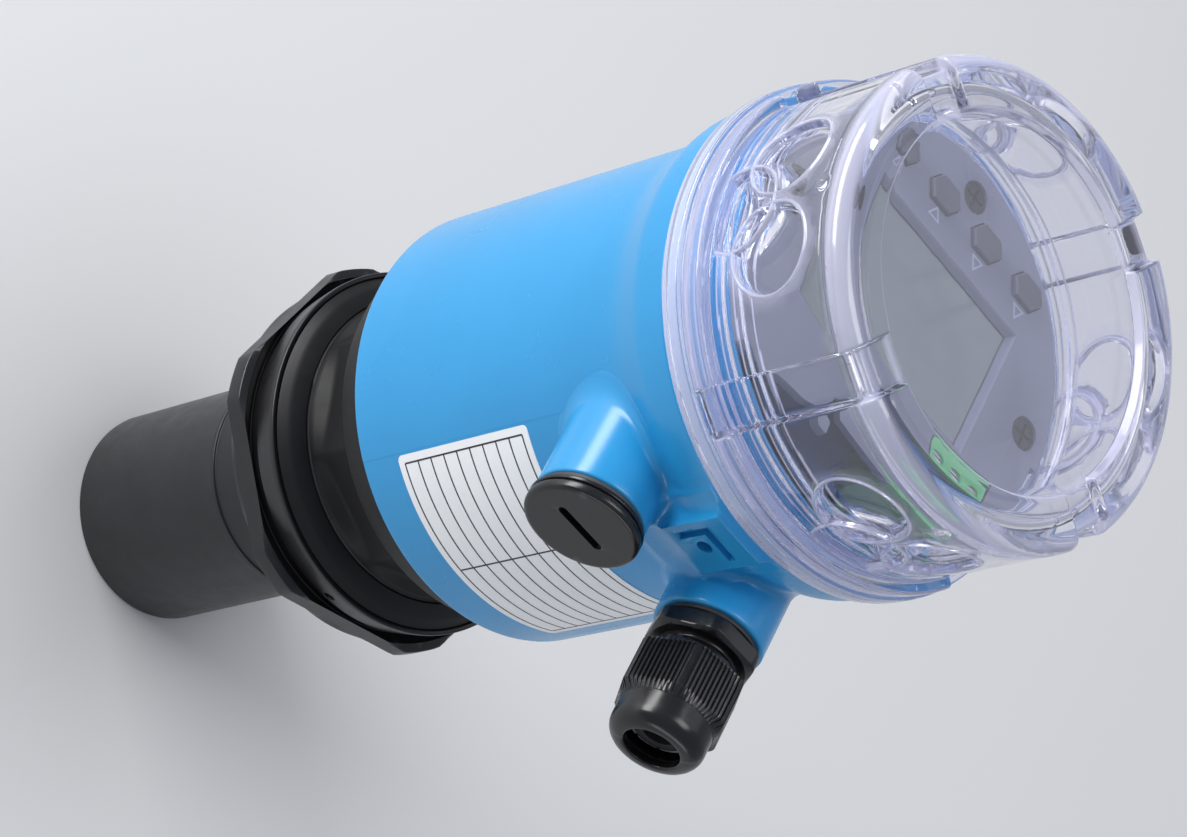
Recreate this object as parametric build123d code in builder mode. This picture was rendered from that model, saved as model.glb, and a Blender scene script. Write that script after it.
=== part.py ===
from build123d import *
from math import asin, atan2, cos, degrees, radians, sin, sqrt
import os

# Ultrasonic level sensor with a hexagon lock nut, a housing with two cable bosses and a clear screw cover.
# Origin: centre of the radiating face at the lower end. +Z runs up the sensor towards the cover.
# The cable bosses point along -Y. Lengths are in millimetres, angles in degrees.

os.makedirs("parts", exist_ok=True)

# General fits
seat_gap = 0.05             # between pieces that are assembled face to face on different moving pieces
thread_gap = 0.08           # radial clearance of the screwed pieces
loose_gap = 0.4             # radial clearance of the cover over the collar

# Sensor tube, thread, neck and shoulder of the transducer body
tube_radius = 21.5
tube_wall = 2.7
tube_length = 62.0
tube_edge = 1.0
bead_height = 0.5
bead_width = 1.8
bead_z = 44.2
thread_radius = 30.0
thread_length = 22.2
neck_across_flats = 55.0
neck_sides = 8
neck_length = 17.0
neck_edge = 1.6
shoulder_radius = 36.0
shoulder_top_radius = 38.8
shoulder_height = 9.5
spigot_length = 12.0
neck_bore_radius = 23.5
bore_cone_height = 6.0
tube_floor_above_thread = 3.0

# Pieces at the radiating end
matching_radius = 19.9
matching_thickness = 4.0
piezo_radius = 14.0
piezo_thickness = 5.0
damping_height = 34.0
matching_edge = 0.3

# Lock nut and its gasket
nut_across_flats = 70.2
nut_corner_radius = 38.2
nut_hex_height = 5.9
nut_collar_height = 7.2
nut_collar_low_radius = 34.8
nut_collar_top_radius = 35.9
nut_turn = -103.0           # azimuth of one corner
nut_rim = 1.1
nut_recess_depth = 3.0
gasket_rise = 3.3
nut_below_neck = 3.4        # top of the collar below the eight-sided neck
nut_edge = 0.5

# Housing
body_radius = 41.2
body_wall = 3.7
body_length = 77.5
body_edge = 0.8
field_step = 0.2            # the field between the mould lines lies this much lower
field_angle = 38.15         # mould lines either side of -Y
cone_height = 8.0
flange_radius = 44.4
flange_height = 7.0
flange_edge = 0.8
collar_radius = 38.2
collar_wall = 2.0
collar_height = 12.0

# Cable bosses, lug and what is screwed into them
boss_radius = 10.3
boss_offset = 16.75
boss_below_flange = 14.6
boss_end = 49.6
boss_root = 18.0            # the bosses and their bores start this far from the axis
entry_radius = 8.0
lug_width = 8.6
lug_height = 8.0
lug_reach = 47.4
lug_below_flange = 3.2
lug_rib_above_flange = 5.6
lug_foot_below = 16.0
lug_web_width = 21.0        # of the web where it meets the wall
lug_web_depth = 5.6         # over which the web narrows to the lug
lug_hole_radius = 1.5
lug_hole_depth = 7.0
lug_slot = 1.7
lug_slot_depth = 1.5

# Cable gland
gland_across_flats = 19.0
gland_corner_radius = 10.5
gland_hex_height = 4.0
gland_washer_thickness = 0.9
gland_shank_length = 9.0
gland_stub_radius = 7.6
gland_stub_length = 11.0
gland_bore_radius = 5.2
gland_nut_gap = 2.5
gland_nut_turn = 8.0
gland_nut_hex_length = 11.4
gland_nut_edge = 0.7
gland_dome_length = 6.4
gland_dome_radius = 8.8
gland_dome_shoulder = 3.5   # straight part of the dome below its round
gland_mouth_radius = 5.2
gland_mouth_rim = 0.9
gland_cone_height = 1.5
gland_rib_count = 11
gland_rib_pitch = 0.92
gland_rib_depth = 0.4
gland_rib_start = 1.0
gland_seal_bore = 3.2
gland_seal_wall = 1.7
gland_seal_overlap = 6.0    # length of the seal inside the stub
gland_seal_setback = 0.5
gland_claw_wall = 1.0
gland_claw_slits = 8
gland_claw_slit = 0.7
gland_claw_flange = 1.0

# Blanking plug
plug_radius = 10.7
plug_thickness = 3.0
plug_shank_length = 8.0
plug_shank_wall = 2.0
plug_floor = 1.0
plug_edge = 0.7
plug_slot_length = 11.0
plug_slot_width = 1.8
plug_slot_depth = 1.4
plug_slot_turn = 42.0
plug_seal_thickness = 1.0
plug_seal_radius = 9.9

# Screw cover
cover_gap = 1.0             # from the flange to the skirt
skirt_radius = 46.0
bead_step = 0.5
skirt_low_bead = 3.8
skirt_groove = 0.8
skirt_high_bead = 3.8
pad_radius = 43.2
pad_count = 4
groove_width = 8.6
groove_floor_radius = 40.6
cover_height = 38.8
rim_rise = 1.8
rim_inner_radius = 33.0
rim_outer_round = 3.2
window_thickness = 3.2
cover_inner_round = 3.0
cover_turn = -30.0          # azimuth of one groove from -Y
pocket_radius = 7.9
pocket_rib = 0.9            # width of the ring round each pocket
pocket_height = 22.3        # of the two upper pockets above the skirt's edge
pocket_offset = 9.2         # of the upper pockets from the middle of the pad
low_pocket_height = 13.6
pocket_depth = 1.7
cover_seal_height = 2.9
cover_seal_outer = 42.0
cover_seal_gap = 0.3

# Operator panel, display and keys
panel_thickness = 2.0
panel_radius = 37.9
panel_lower_edge = 27.0
panel_step_edge = 21.9
panel_step_from = -4.0
panel_side_half = 36.4
window_width = 40.0
window_height = 26.3
window_centre = 3.65
window_frame = 1.2
lcd_width = 46.0
lcd_height = 31.0
lcd_thickness = 4.2
lcd_below_frame = 0.2
lcd_glass_gap = 0.25
key_length = 8.4
key_width = 5.4
key_corner = 1.9
key_edge = 0.4
key_proud = 1.0
key_gap = 0.25
key_row = 26.6
key_places = (-18.9, -6.3, 6.3, 18.9)
key_flange_width = 7.4
key_flange_length = 7.8
key_flange_thickness = 0.9
key_travel = 0.6
key_stem_radius = 1.1
switch_size = 3.6
switch_height = 1.8
screw_ring_radius = 32.2
screw_angles = (90.0, 7.2, 172.8)
screw_recess_radius = 3.1
screw_recess_depth = 2.0
screw_boss_radius = 4.3
screw_boss_depth = 1.2
screw_head_radius = 2.7
screw_head_height = 1.6
screw_shank_radius = 1.4
screw_length = 8.0
screw_cross = 0.6
post_radius = 2.9
post_length = 22.0
wall_overlap = 0.4          # how far inside ribs and posts run into the wall

# Boards and terminals
board_thickness = 1.6
display_board_half_width = 27.6
display_board_low = -9.6
display_board_high = 29.4
display_board_radius = 35.4
terminal_board_radius = 35.6
terminal_board_drop = 13.6  # top of the collar to top of the terminal board
board_ledge_count = 6
board_ledge_depth = 4.4
board_ledge_width = 4.0
board_ledge_length = 60.0
terminal_poles = 3
terminal_pitch = 5.08
terminal_depth = 9.0
terminal_header_height = 6.6
terminal_plug_height = 8.8
terminal_x = 21.4
terminal_y = -16.6
terminal_key_depth = 1.4
terminal_wall = 1.0
terminal_plug_gap = 0.2
terminal_screw_drop = 0.8
terminal_screw_slot = 0.7
wire_entry = 2.6
terminal_screw_radius = 1.7
main_board_width = 58.0
main_board_height = 54.0
main_board_y = 9.0
main_board_slot_gap = 0.1
main_board_rail = 5.0
main_board_rail_height = 60.0

# Rating label
label_from = -37.6          # azimuths from -Y
label_to = 32.2
label_low = 10.0            # above the lower end of the housing
label_height = 34.4
label_thickness = 0.25
label_gap = 0.01

# Seals
body_seal_groove = 1.9
body_seal_width = 2.1
body_seal_edge = 0.5

# Levels that follow from the sizes above
thread_z = tube_length
neck_z = thread_z + thread_length
shoulder_z = neck_z + neck_length
body_z = shoulder_z + shoulder_height
flange_z = body_z + body_length
flange_top = flange_z + flange_height
collar_top = flange_top + collar_height
boss_z = flange_z - boss_below_flange
nut_top = neck_z - nut_below_neck
nut_collar_z = nut_top - nut_collar_height
nut_z = nut_collar_z - nut_hex_height
panel_z = collar_top
panel_top = panel_z + panel_thickness
cover_z = flange_top + cover_gap
cover_top = cover_z + cover_height
window_top = cover_top - rim_rise
ceiling_z = window_top - window_thickness
cover_bore = collar_radius + loose_gap
body_bore = body_radius - body_wall
spigot_radius = body_bore - seat_gap
tube_bore = tube_radius - tube_wall
neck_corner = neck_across_flats / 2 / cos(radians(180 / neck_sides))
nut_bore = thread_radius + thread_gap
post_foot_z = panel_z - screw_boss_depth - post_length
terminal_board_top = collar_top - terminal_board_drop
terminal_board_z = terminal_board_top - board_thickness
lcd_z = panel_z - lcd_thickness
display_board_z = lcd_z - board_thickness
pad_angle = 360 / pad_count


def around(radius, azimuth):
    """Point at a radius and an azimuth counted from -Y, counter-clockwise seen from above."""
    return (radius * sin(radians(azimuth)), -radius * cos(radians(azimuth)))


def sector_points(reach, start, end):
    """Corners of a wedge from the axis between two azimuths counted from -Y."""
    middle = (start + end) / 2
    return [(0, 0), around(reach, start), around(reach, middle), around(reach, end)]


# Transducer body: tube, thread core, neck and shoulder are one black moulding
spigot_top = body_z + spigot_length
seal_z = body_z + spigot_length / 2
seal_groove_radius = spigot_radius - body_seal_groove
with BuildPart() as transducer_body:
    with BuildSketch(Plane.XZ):
        with BuildLine():
            Polyline((0, 0), (tube_radius - tube_edge, 0), (tube_radius, tube_edge),
                     (tube_radius, bead_z - bead_width / 2), (tube_radius + bead_height, bead_z - bead_height / 2),
                     (tube_radius + bead_height, bead_z + bead_height / 2),
                     (tube_radius, bead_z + bead_width / 2), (tube_radius, thread_z),
                     (thread_radius - tube_edge, thread_z), (thread_radius, thread_z + tube_edge),
                     (thread_radius, neck_z), (0, neck_z), close=True)
        make_face()
    revolve(axis=Axis.Z)
    with BuildSketch(Plane.XY.offset(neck_z)):
        RegularPolygon(radius=neck_corner, side_count=neck_sides)
    neck = extrude(amount=neck_length)
    fillet(neck.edges().filter_by(Axis.Z), radius=neck_edge)
    with BuildSketch(Plane.XZ):
        with BuildLine():
            Polyline((0, shoulder_z), (shoulder_radius, shoulder_z), (shoulder_top_radius, body_z),
                     (spigot_radius, body_z), (spigot_radius, seal_z - body_seal_width / 2),
                     (seal_groove_radius, seal_z - body_seal_width / 2),
                     (seal_groove_radius, seal_z + body_seal_width / 2),
                     (spigot_radius, seal_z + body_seal_width / 2), (spigot_radius, spigot_top),
                     (0, spigot_top), close=True)
        make_face()
    revolve(axis=Axis.Z)
    bore_cone_z = thread_z + tube_floor_above_thread
    with BuildSketch(Plane.XZ):
        with BuildLine():
            Polyline((0, -1), (matching_radius, -1), (matching_radius, matching_thickness),
                     (tube_bore, matching_thickness), (tube_bore, bore_cone_z),
                     (neck_bore_radius, bore_cone_z + bore_cone_height), (neck_bore_radius, spigot_top + 1),
                     (0, spigot_top + 1), close=True)
        make_face()
    revolve(axis=Axis.Z, mode=Mode.SUBTRACT)

# Radiating face: a matching layer, the piezo disc behind it and the damping fill round the disc
with BuildPart() as matching_layer:
    with BuildSketch():
        Circle(matching_radius - seat_gap)
    extrude(amount=matching_thickness)
    chamfer(matching_layer.edges().group_by(Axis.Z)[0], length=matching_edge)

with BuildPart() as piezo_disc:
    with BuildSketch(Plane.XY.offset(matching_thickness)):
        Circle(piezo_radius)
    extrude(amount=piezo_thickness)

with BuildPart() as damping_fill:
    with BuildSketch(Plane.XY.offset(matching_thickness)):
        Circle(tube_bore - seat_gap)
    extrude(amount=damping_height)
    with BuildSketch(Plane.XY.offset(matching_thickness)):
        Circle(piezo_radius)
    extrude(amount=piezo_thickness, mode=Mode.SUBTRACT)

# Ring seal in the spigot's groove, bevelled so that it slides into the bore
seal_inner = seal_groove_radius + seat_gap / 2
seal_rim = body_bore - seat_gap / 2
with BuildPart() as body_seal:
    with BuildSketch(Plane.XZ):
        with Locations(((seal_inner + seal_rim) / 2, seal_z)):
            Rectangle(seal_rim - seal_inner, body_seal_width - 2 * seat_gap)
    revolve(axis=Axis.Z)
    chamfer(body_seal.edges().filter_by(GeomType.CIRCLE).group_by(SortBy.RADIUS)[-1], length=body_seal_edge)

# Lock nut: hexagon with turned-off corners below a round collar that is recessed for its gasket
with BuildPart() as lock_nut:
    with BuildSketch(Plane.XY.offset(nut_z)):
        RegularPolygon(radius=nut_across_flats / 2, side_count=6, major_radius=False, rotation=nut_turn)
    extrude(amount=nut_hex_height)
    with BuildSketch(Plane.XZ):
        with BuildLine():
            Polyline((0, nut_z), (nut_corner_radius - nut_edge, nut_z), (nut_corner_radius, nut_z + nut_edge),
                     (nut_corner_radius, nut_collar_z), (0, nut_collar_z), close=True)
        make_face()
    revolve(axis=Axis.Z, mode=Mode.INTERSECT)
    with BuildSketch(Plane.XZ):
        with BuildLine():
            Polyline((0, nut_collar_z), (nut_collar_low_radius, nut_collar_z),
                     (nut_collar_top_radius, nut_top - nut_edge), (nut_collar_top_radius - nut_edge, nut_top),
                     (0, nut_top), close=True)
        make_face()
    revolve(axis=Axis.Z)
    with BuildSketch(Plane.XY.offset(nut_top)):
        Circle(nut_collar_top_radius - nut_rim)
    extrude(amount=-nut_recess_depth, mode=Mode.SUBTRACT)
    with BuildSketch(Plane.XY.offset(nut_z)):
        Circle(nut_bore)
    extrude(amount=nut_hex_height + nut_collar_height, mode=Mode.SUBTRACT)

# Gasket: a dished rubber ring in the nut's recess, highest against the neck
gasket_z = nut_top - nut_recess_depth + seat_gap
gasket_outer = nut_collar_top_radius - nut_rim - seat_gap
gasket_inner = thread_radius + thread_gap
gasket_inner_top = nut_top + gasket_rise
with BuildPart() as nut_gasket:
    with BuildSketch(Plane.XZ):
        with BuildLine():
            Polyline((gasket_inner, gasket_z), (gasket_outer, gasket_z), (gasket_outer, nut_top - nut_edge))
            ThreePointArc((gasket_outer, nut_top - nut_edge),
                          ((gasket_outer + gasket_inner) / 2, nut_top + 0.62 * gasket_rise),
                          (gasket_inner, gasket_inner_top))
            Line((gasket_inner, gasket_inner_top), (gasket_inner, gasket_z))
        make_face()
    revolve(axis=Axis.Z)

# Housing: revolved shell with cone, flange and collar, then bosses, lug and inside ledges
collar_bore = collar_radius - collar_wall
cone_z = flange_z - cone_height
field_radius = body_radius - field_step
boss_centres = [(-boss_offset, boss_z), (boss_offset, boss_z)]
facing_out = Plane(origin=(0, 0, 0), x_dir=(1, 0, 0), z_dir=(0, -1, 0))
lug_z = flange_z - lug_below_flange
# Web between the bosses that carries the lug
web_foot = (-field_radius, lug_z - lug_foot_below)
lug_low = (-lug_reach, lug_z - lug_height / 2)
web_top = flange_z + lug_rib_above_flange
web_corner = lug_width / 2 + lug_slot
with BuildPart() as lug_web:
    with BuildSketch(Plane.YZ):
        with BuildLine():
            TangentArc(web_foot, lug_low, tangent=(0, 1))
            Polyline(lug_low, (-lug_reach, web_top - 1), (1 - lug_reach, web_top), (-body_bore, web_top),
                     (-body_bore, lug_z - lug_foot_below), web_foot)
        make_face()
    extrude(amount=lug_web_width, both=True)
    # Seen from above the web flares out on both sides
    with BuildSketch(Plane.XY.offset(body_z)):
        with BuildLine():
            for side in (-1, 1):
                TangentArc((side * lug_web_width / 2, lug_web_depth - lug_reach), (side * web_corner, -lug_reach),
                           tangent=(-side, 0))
            Line((-web_corner, -lug_reach), (web_corner, -lug_reach))
            Polyline((-lug_web_width / 2, lug_web_depth - lug_reach), (-lug_web_width / 2, -body_bore),
                     (lug_web_width / 2, -body_bore), (lug_web_width / 2, lug_web_depth - lug_reach))
        make_face()
    extrude(amount=flange_top - body_z, mode=Mode.INTERSECT)

with BuildPart() as housing:
    with BuildSketch(Plane.XZ):
        with BuildLine():
            Polyline((0, body_z), (body_radius - body_edge, body_z), (body_radius, body_z + body_edge),
                     (body_radius, cone_z), (flange_radius, flange_z), (flange_radius, flange_top - flange_edge),
                     (flange_radius - flange_edge, flange_top), (collar_radius, flange_top),
                     (collar_radius, collar_top), (0, collar_top), close=True)
        make_face()
    revolve(axis=Axis.Z)
    # Field between the mould lines, where the label is stuck
    with BuildSketch(Plane.XY.offset(body_z)):
        Circle(body_radius + 1)
        Circle(field_radius, mode=Mode.SUBTRACT)
        with BuildLine():
            Polyline(*sector_points(2 * body_radius, -field_angle, field_angle), close=True)
        make_face(mode=Mode.INTERSECT)
    extrude(amount=cone_z - body_z, mode=Mode.SUBTRACT)
    # Cable bosses
    with BuildSketch(facing_out.offset(boss_end)):
        with Locations(*boss_centres):
            Circle(boss_radius)
    extrude(amount=boss_root - boss_end)
    add(lug_web.part)
    # Hooked recess beside the lug and the hole in it
    with BuildSketch(facing_out.offset(lug_reach)):
        with Locations(((lug_slot - lug_width) / 2, lug_z + lug_slot / 2)):
            Rectangle(lug_slot, lug_height - lug_slot)
        with Locations((lug_slot / 2, lug_z + lug_height / 2)):
            Rectangle(lug_width - lug_slot, lug_slot)
    extrude(amount=-lug_slot_depth, mode=Mode.SUBTRACT)
    with BuildSketch(facing_out.offset(lug_reach)):
        with Locations((0, lug_z)):
            Circle(lug_hole_radius)
    extrude(amount=-lug_hole_depth, mode=Mode.SUBTRACT)
    # Inside of the shell
    with BuildSketch(Plane.XZ):
        with BuildLine():
            Polyline((0, body_z - 1), (body_bore, body_z - 1), (body_bore, flange_top - collar_wall),
                     (collar_bore, flange_top), (collar_bore, collar_top + 1), (0, collar_top + 1), close=True)
        make_face()
    revolve(axis=Axis.Z, mode=Mode.SUBTRACT)
    # Cable entries
    with BuildSketch(facing_out.offset(boss_end)):
        with Locations(*boss_centres):
            Circle(entry_radius)
    extrude(amount=boss_root - boss_end, mode=Mode.SUBTRACT)
    # Ledges under the terminal board
    with BuildSketch(Plane.XY.offset(terminal_board_z)):
        with PolarLocations(body_bore - board_ledge_depth / 2, board_ledge_count, start_angle=30):
            Rectangle(board_ledge_depth + 2 * wall_overlap, board_ledge_width)
    extrude(amount=-board_ledge_length)
    # Slotted rails for the upright main board
    rail_x = main_board_width / 2
    rail_end = sqrt(body_bore ** 2 - main_board_y ** 2)
    with BuildSketch(Plane.XY.offset(spigot_top + seat_gap)):
        with Locations(((rail_x + rail_end) / 2, main_board_y), (-(rail_x + rail_end) / 2, main_board_y)):
            Rectangle(rail_end - rail_x + main_board_rail, main_board_rail)
        with Locations((0, main_board_y)):
            Rectangle(main_board_width + 2 * main_board_slot_gap, board_thickness + 2 * main_board_slot_gap,
                      mode=Mode.SUBTRACT)
    extrude(amount=main_board_rail_height)
    # Posts for the panel screws
    with BuildSketch(Plane.XY.offset(post_foot_z)):
        for angle in screw_angles:
            with PolarLocations(screw_ring_radius, 1, start_angle=angle):
                Circle(post_radius)
                with Locations((post_radius, 0)):
                    Rectangle(2 * post_radius, post_radius)
        Circle(body_bore + wall_overlap, mode=Mode.INTERSECT)
    extrude(amount=post_length)
    with BuildSketch(Plane.XY.offset(panel_z - screw_boss_depth)):
        for angle in screw_angles:
            with PolarLocations(screw_ring_radius, 1, start_angle=angle):
                Circle(screw_shank_radius + seat_gap)
    extrude(amount=-screw_length, mode=Mode.SUBTRACT)

# Rating label, wrapped round the field
with BuildPart() as rating_label:
    with BuildSketch(Plane.XY.offset(body_z + label_low)):
        Circle(field_radius + label_gap + label_thickness)
        Circle(field_radius + label_gap, mode=Mode.SUBTRACT)
        with BuildLine():
            Polyline(*sector_points(2 * body_radius, label_from, label_to), close=True)
        make_face(mode=Mode.INTERSECT)
    extrude(amount=label_height)

# Frames of the two cable entries: a section plane with x radial and y outward, and the entry's axis
gland_origin = (boss_offset, -boss_end, boss_z)
plug_origin = (-boss_offset, -boss_end, boss_z)
gland_section = Plane(origin=gland_origin, x_dir=(1, 0, 0), z_dir=(0, 0, -1))
gland_face = Plane(origin=gland_origin, x_dir=(1, 0, 0), z_dir=(0, -1, 0))
plug_face = Plane(origin=plug_origin, x_dir=(1, 0, 0), z_dir=(0, -1, 0))
gland_axis = Axis(gland_origin, (0, -1, 0))
shank_radius = entry_radius - thread_gap

# Gland body: shank, hexagon and threaded stub with a through bore
stub_z = gland_washer_thickness + gland_hex_height
stub_end = stub_z + gland_stub_length
with BuildPart() as gland_body:
    with BuildSketch(gland_face.offset(-gland_shank_length)):
        Circle(shank_radius)
    extrude(amount=gland_shank_length + gland_washer_thickness)
    with BuildSketch(gland_face.offset(gland_washer_thickness)):
        RegularPolygon(radius=gland_across_flats / 2, side_count=6, major_radius=False, rotation=0)
        Circle(gland_corner_radius, mode=Mode.INTERSECT)
    extrude(amount=gland_hex_height)
    with BuildSketch(gland_face.offset(stub_z)):
        Circle(gland_stub_radius)
    extrude(amount=gland_stub_length)
    with BuildSketch(gland_face.offset(-gland_shank_length)):
        Circle(gland_bore_radius)
    extrude(amount=gland_shank_length + stub_end, mode=Mode.SUBTRACT)

with BuildPart() as gland_washer:
    with BuildSketch(gland_face):
        Circle(gland_across_flats / 2)
        Circle(entry_radius, mode=Mode.SUBTRACT)
    extrude(amount=gland_washer_thickness)

# Gland nut: ribbed hexagon running into a dome with the cable mouth
gland_nut_z = stub_z + gland_nut_gap
gland_nut_hex_end = gland_nut_z + gland_nut_hex_length
gland_nut_end = gland_nut_hex_end + gland_dome_length
gland_nut_bore = gland_stub_radius + thread_gap
claw_outer = gland_seal_bore + gland_seal_wall + gland_claw_wall
dome_cone_z = gland_nut_hex_end + gland_dome_length / 2
dome_top_radius = gland_mouth_radius + gland_mouth_rim
with BuildPart() as gland_nut:
    with BuildSketch(gland_face.offset(gland_nut_z)):
        RegularPolygon(radius=gland_across_flats / 2, side_count=6, major_radius=False, rotation=gland_nut_turn)
    extrude(amount=gland_nut_hex_length)
    # Both ends of the hexagon are turned off to a cone at its corners
    with BuildSketch(gland_section):
        with BuildLine():
            Polyline((0, gland_nut_z), (gland_corner_radius - gland_nut_edge, gland_nut_z),
                     (gland_corner_radius, gland_nut_z + gland_nut_edge),
                     (gland_corner_radius, gland_nut_hex_end - 2 * gland_nut_edge),
                     (gland_dome_radius, gland_nut_hex_end), (0, gland_nut_hex_end), close=True)
        make_face()
    revolve(axis=gland_axis, mode=Mode.INTERSECT)
    with BuildSketch(gland_face.offset(gland_nut_z + gland_rib_start)):
        for side in range(6):
            with PolarLocations(gland_across_flats / 2, 1, start_angle=gland_nut_turn + 30 + 60 * side):
                with GridLocations(1, gland_rib_pitch, 1, gland_rib_count):
                    Rectangle(2 * gland_rib_depth, gland_rib_pitch / 2)
    extrude(amount=gland_nut_hex_length, mode=Mode.SUBTRACT)
    with BuildSketch(gland_section):
        with BuildLine():
            Polyline((0, gland_nut_hex_end), (gland_dome_radius, gland_nut_hex_end),
                     (gland_dome_radius, gland_nut_hex_end + gland_dome_shoulder))
            RadiusArc((gland_dome_radius, gland_nut_hex_end + gland_dome_shoulder), (dome_top_radius, gland_nut_end),
                      gland_dome_length - gland_dome_shoulder)
            Polyline((dome_top_radius, gland_nut_end), (0, gland_nut_end), (0, gland_nut_hex_end))
        make_face()
    revolve(axis=gland_axis)
    with BuildSketch(gland_section):
        with BuildLine():
            Polyline((0, gland_nut_z - 1), (gland_nut_bore, gland_nut_z - 1),
                     (gland_nut_bore, gland_nut_hex_end), (claw_outer + loose_gap, dome_cone_z),
                     (gland_mouth_radius, dome_cone_z + gland_cone_height), (gland_mouth_radius, gland_nut_end + 1),
                     (0, gland_nut_end + 1), close=True)
        make_face()
    revolve(axis=gland_axis, mode=Mode.SUBTRACT)

# Rubber insert and slit claw inside the gland nut
seal_start = stub_end - gland_seal_overlap
seal_end = dome_cone_z - gland_seal_setback
seal_outer = gland_seal_bore + gland_seal_wall
with BuildPart() as gland_seal:
    with BuildSketch(gland_face.offset(seal_start)):
        Circle(seal_outer)
        Circle(gland_seal_bore, mode=Mode.SUBTRACT)
    extrude(amount=seal_end - seal_start)

claw_start = stub_end + seat_gap
with BuildPart() as gland_claw:
    with BuildSketch(gland_face.offset(claw_start)):
        Circle(gland_stub_radius)
        Circle(seal_outer + seat_gap, mode=Mode.SUBTRACT)
    extrude(amount=gland_claw_flange)
    with BuildSketch(gland_face.offset(claw_start + gland_claw_flange)):
        Circle(claw_outer)
        Circle(seal_outer + seat_gap, mode=Mode.SUBTRACT)
        with PolarLocations(claw_outer, gland_claw_slits):
            Rectangle(4 * gland_claw_wall, gland_claw_slit, mode=Mode.SUBTRACT)
    extrude(amount=seal_end - claw_start - gland_claw_flange - gland_seal_setback)

# Blanking plug with a coin slot, over its flat seal
with BuildPart() as blanking_plug:
    with BuildSketch(plug_face.offset(-plug_shank_length)):
        Circle(shank_radius)
    extrude(amount=plug_shank_length + plug_seal_thickness)
    with BuildSketch(plug_face.offset(plug_seal_thickness)):
        Circle(plug_radius)
    flange = extrude(amount=plug_thickness)
    chamfer(flange.edges().group_by(Axis.Y)[0], length=plug_edge)
    with BuildSketch(plug_face.offset(plug_seal_thickness + plug_thickness)):
        Rectangle(plug_slot_length, plug_slot_width, rotation=plug_slot_turn)
    extrude(amount=-plug_slot_depth, mode=Mode.SUBTRACT)
    with BuildSketch(plug_face.offset(-plug_shank_length)):
        Circle(shank_radius - plug_shank_wall)
    extrude(amount=plug_shank_length - plug_floor, mode=Mode.SUBTRACT)

with BuildPart() as plug_seal:
    with BuildSketch(plug_face.offset(seat_gap)):
        Circle(plug_seal_radius)
        Circle(shank_radius + thread_gap, mode=Mode.SUBTRACT)
    extrude(amount=plug_seal_thickness - 2 * seat_gap)

# Cover: turned outside with beads, rounded front edge and raised rim, then grooves, pockets and the hollow
skirt_groove_z = cover_z + skirt_low_bead
skirt_high_z = skirt_groove_z + skirt_groove
skirt_top = skirt_high_z + skirt_high_bead
seal_ceiling = flange_top + cover_seal_height + 2 * seat_gap
seal_pocket_radius = cover_seal_outer + loose_gap

# Cutter for the pockets of the pad that faces -Y: three discs whose ring ribs cross and stay standing
pocket_places = [(-pocket_offset, cover_z + pocket_height), (pocket_offset, cover_z + pocket_height),
                 (0, cover_z + low_pocket_height)]
with BuildPart() as pad_pockets:
    for place in pocket_places:
        with BuildSketch(facing_out.offset(pad_radius + 1)):
            with Locations(place):
                Circle(pocket_radius)
            for other in pocket_places:
                if other != place:
                    with Locations(other):
                        Circle(pocket_radius + pocket_rib, mode=Mode.SUBTRACT)
        extrude(amount=-pad_radius / 2)
        if place != pocket_places[-1]:
            with BuildSketch(facing_out.offset(pad_radius + 1)):
                with Locations(place):
                    Circle(pocket_radius)
                with Locations(pocket_places[-1]):
                    Circle(pocket_radius, mode=Mode.INTERSECT)
            extrude(amount=-pad_radius / 2)
    with BuildSketch(Plane.XY.offset(cover_z)):
        Circle(pad_radius - pocket_depth)
    extrude(amount=cover_height, mode=Mode.SUBTRACT)
    # The lowest pocket stops at the skirt
    with BuildSketch(Plane.XY.offset(cover_z)):
        Circle(skirt_radius)
    extrude(amount=skirt_top + bead_step - cover_z, mode=Mode.SUBTRACT)

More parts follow.
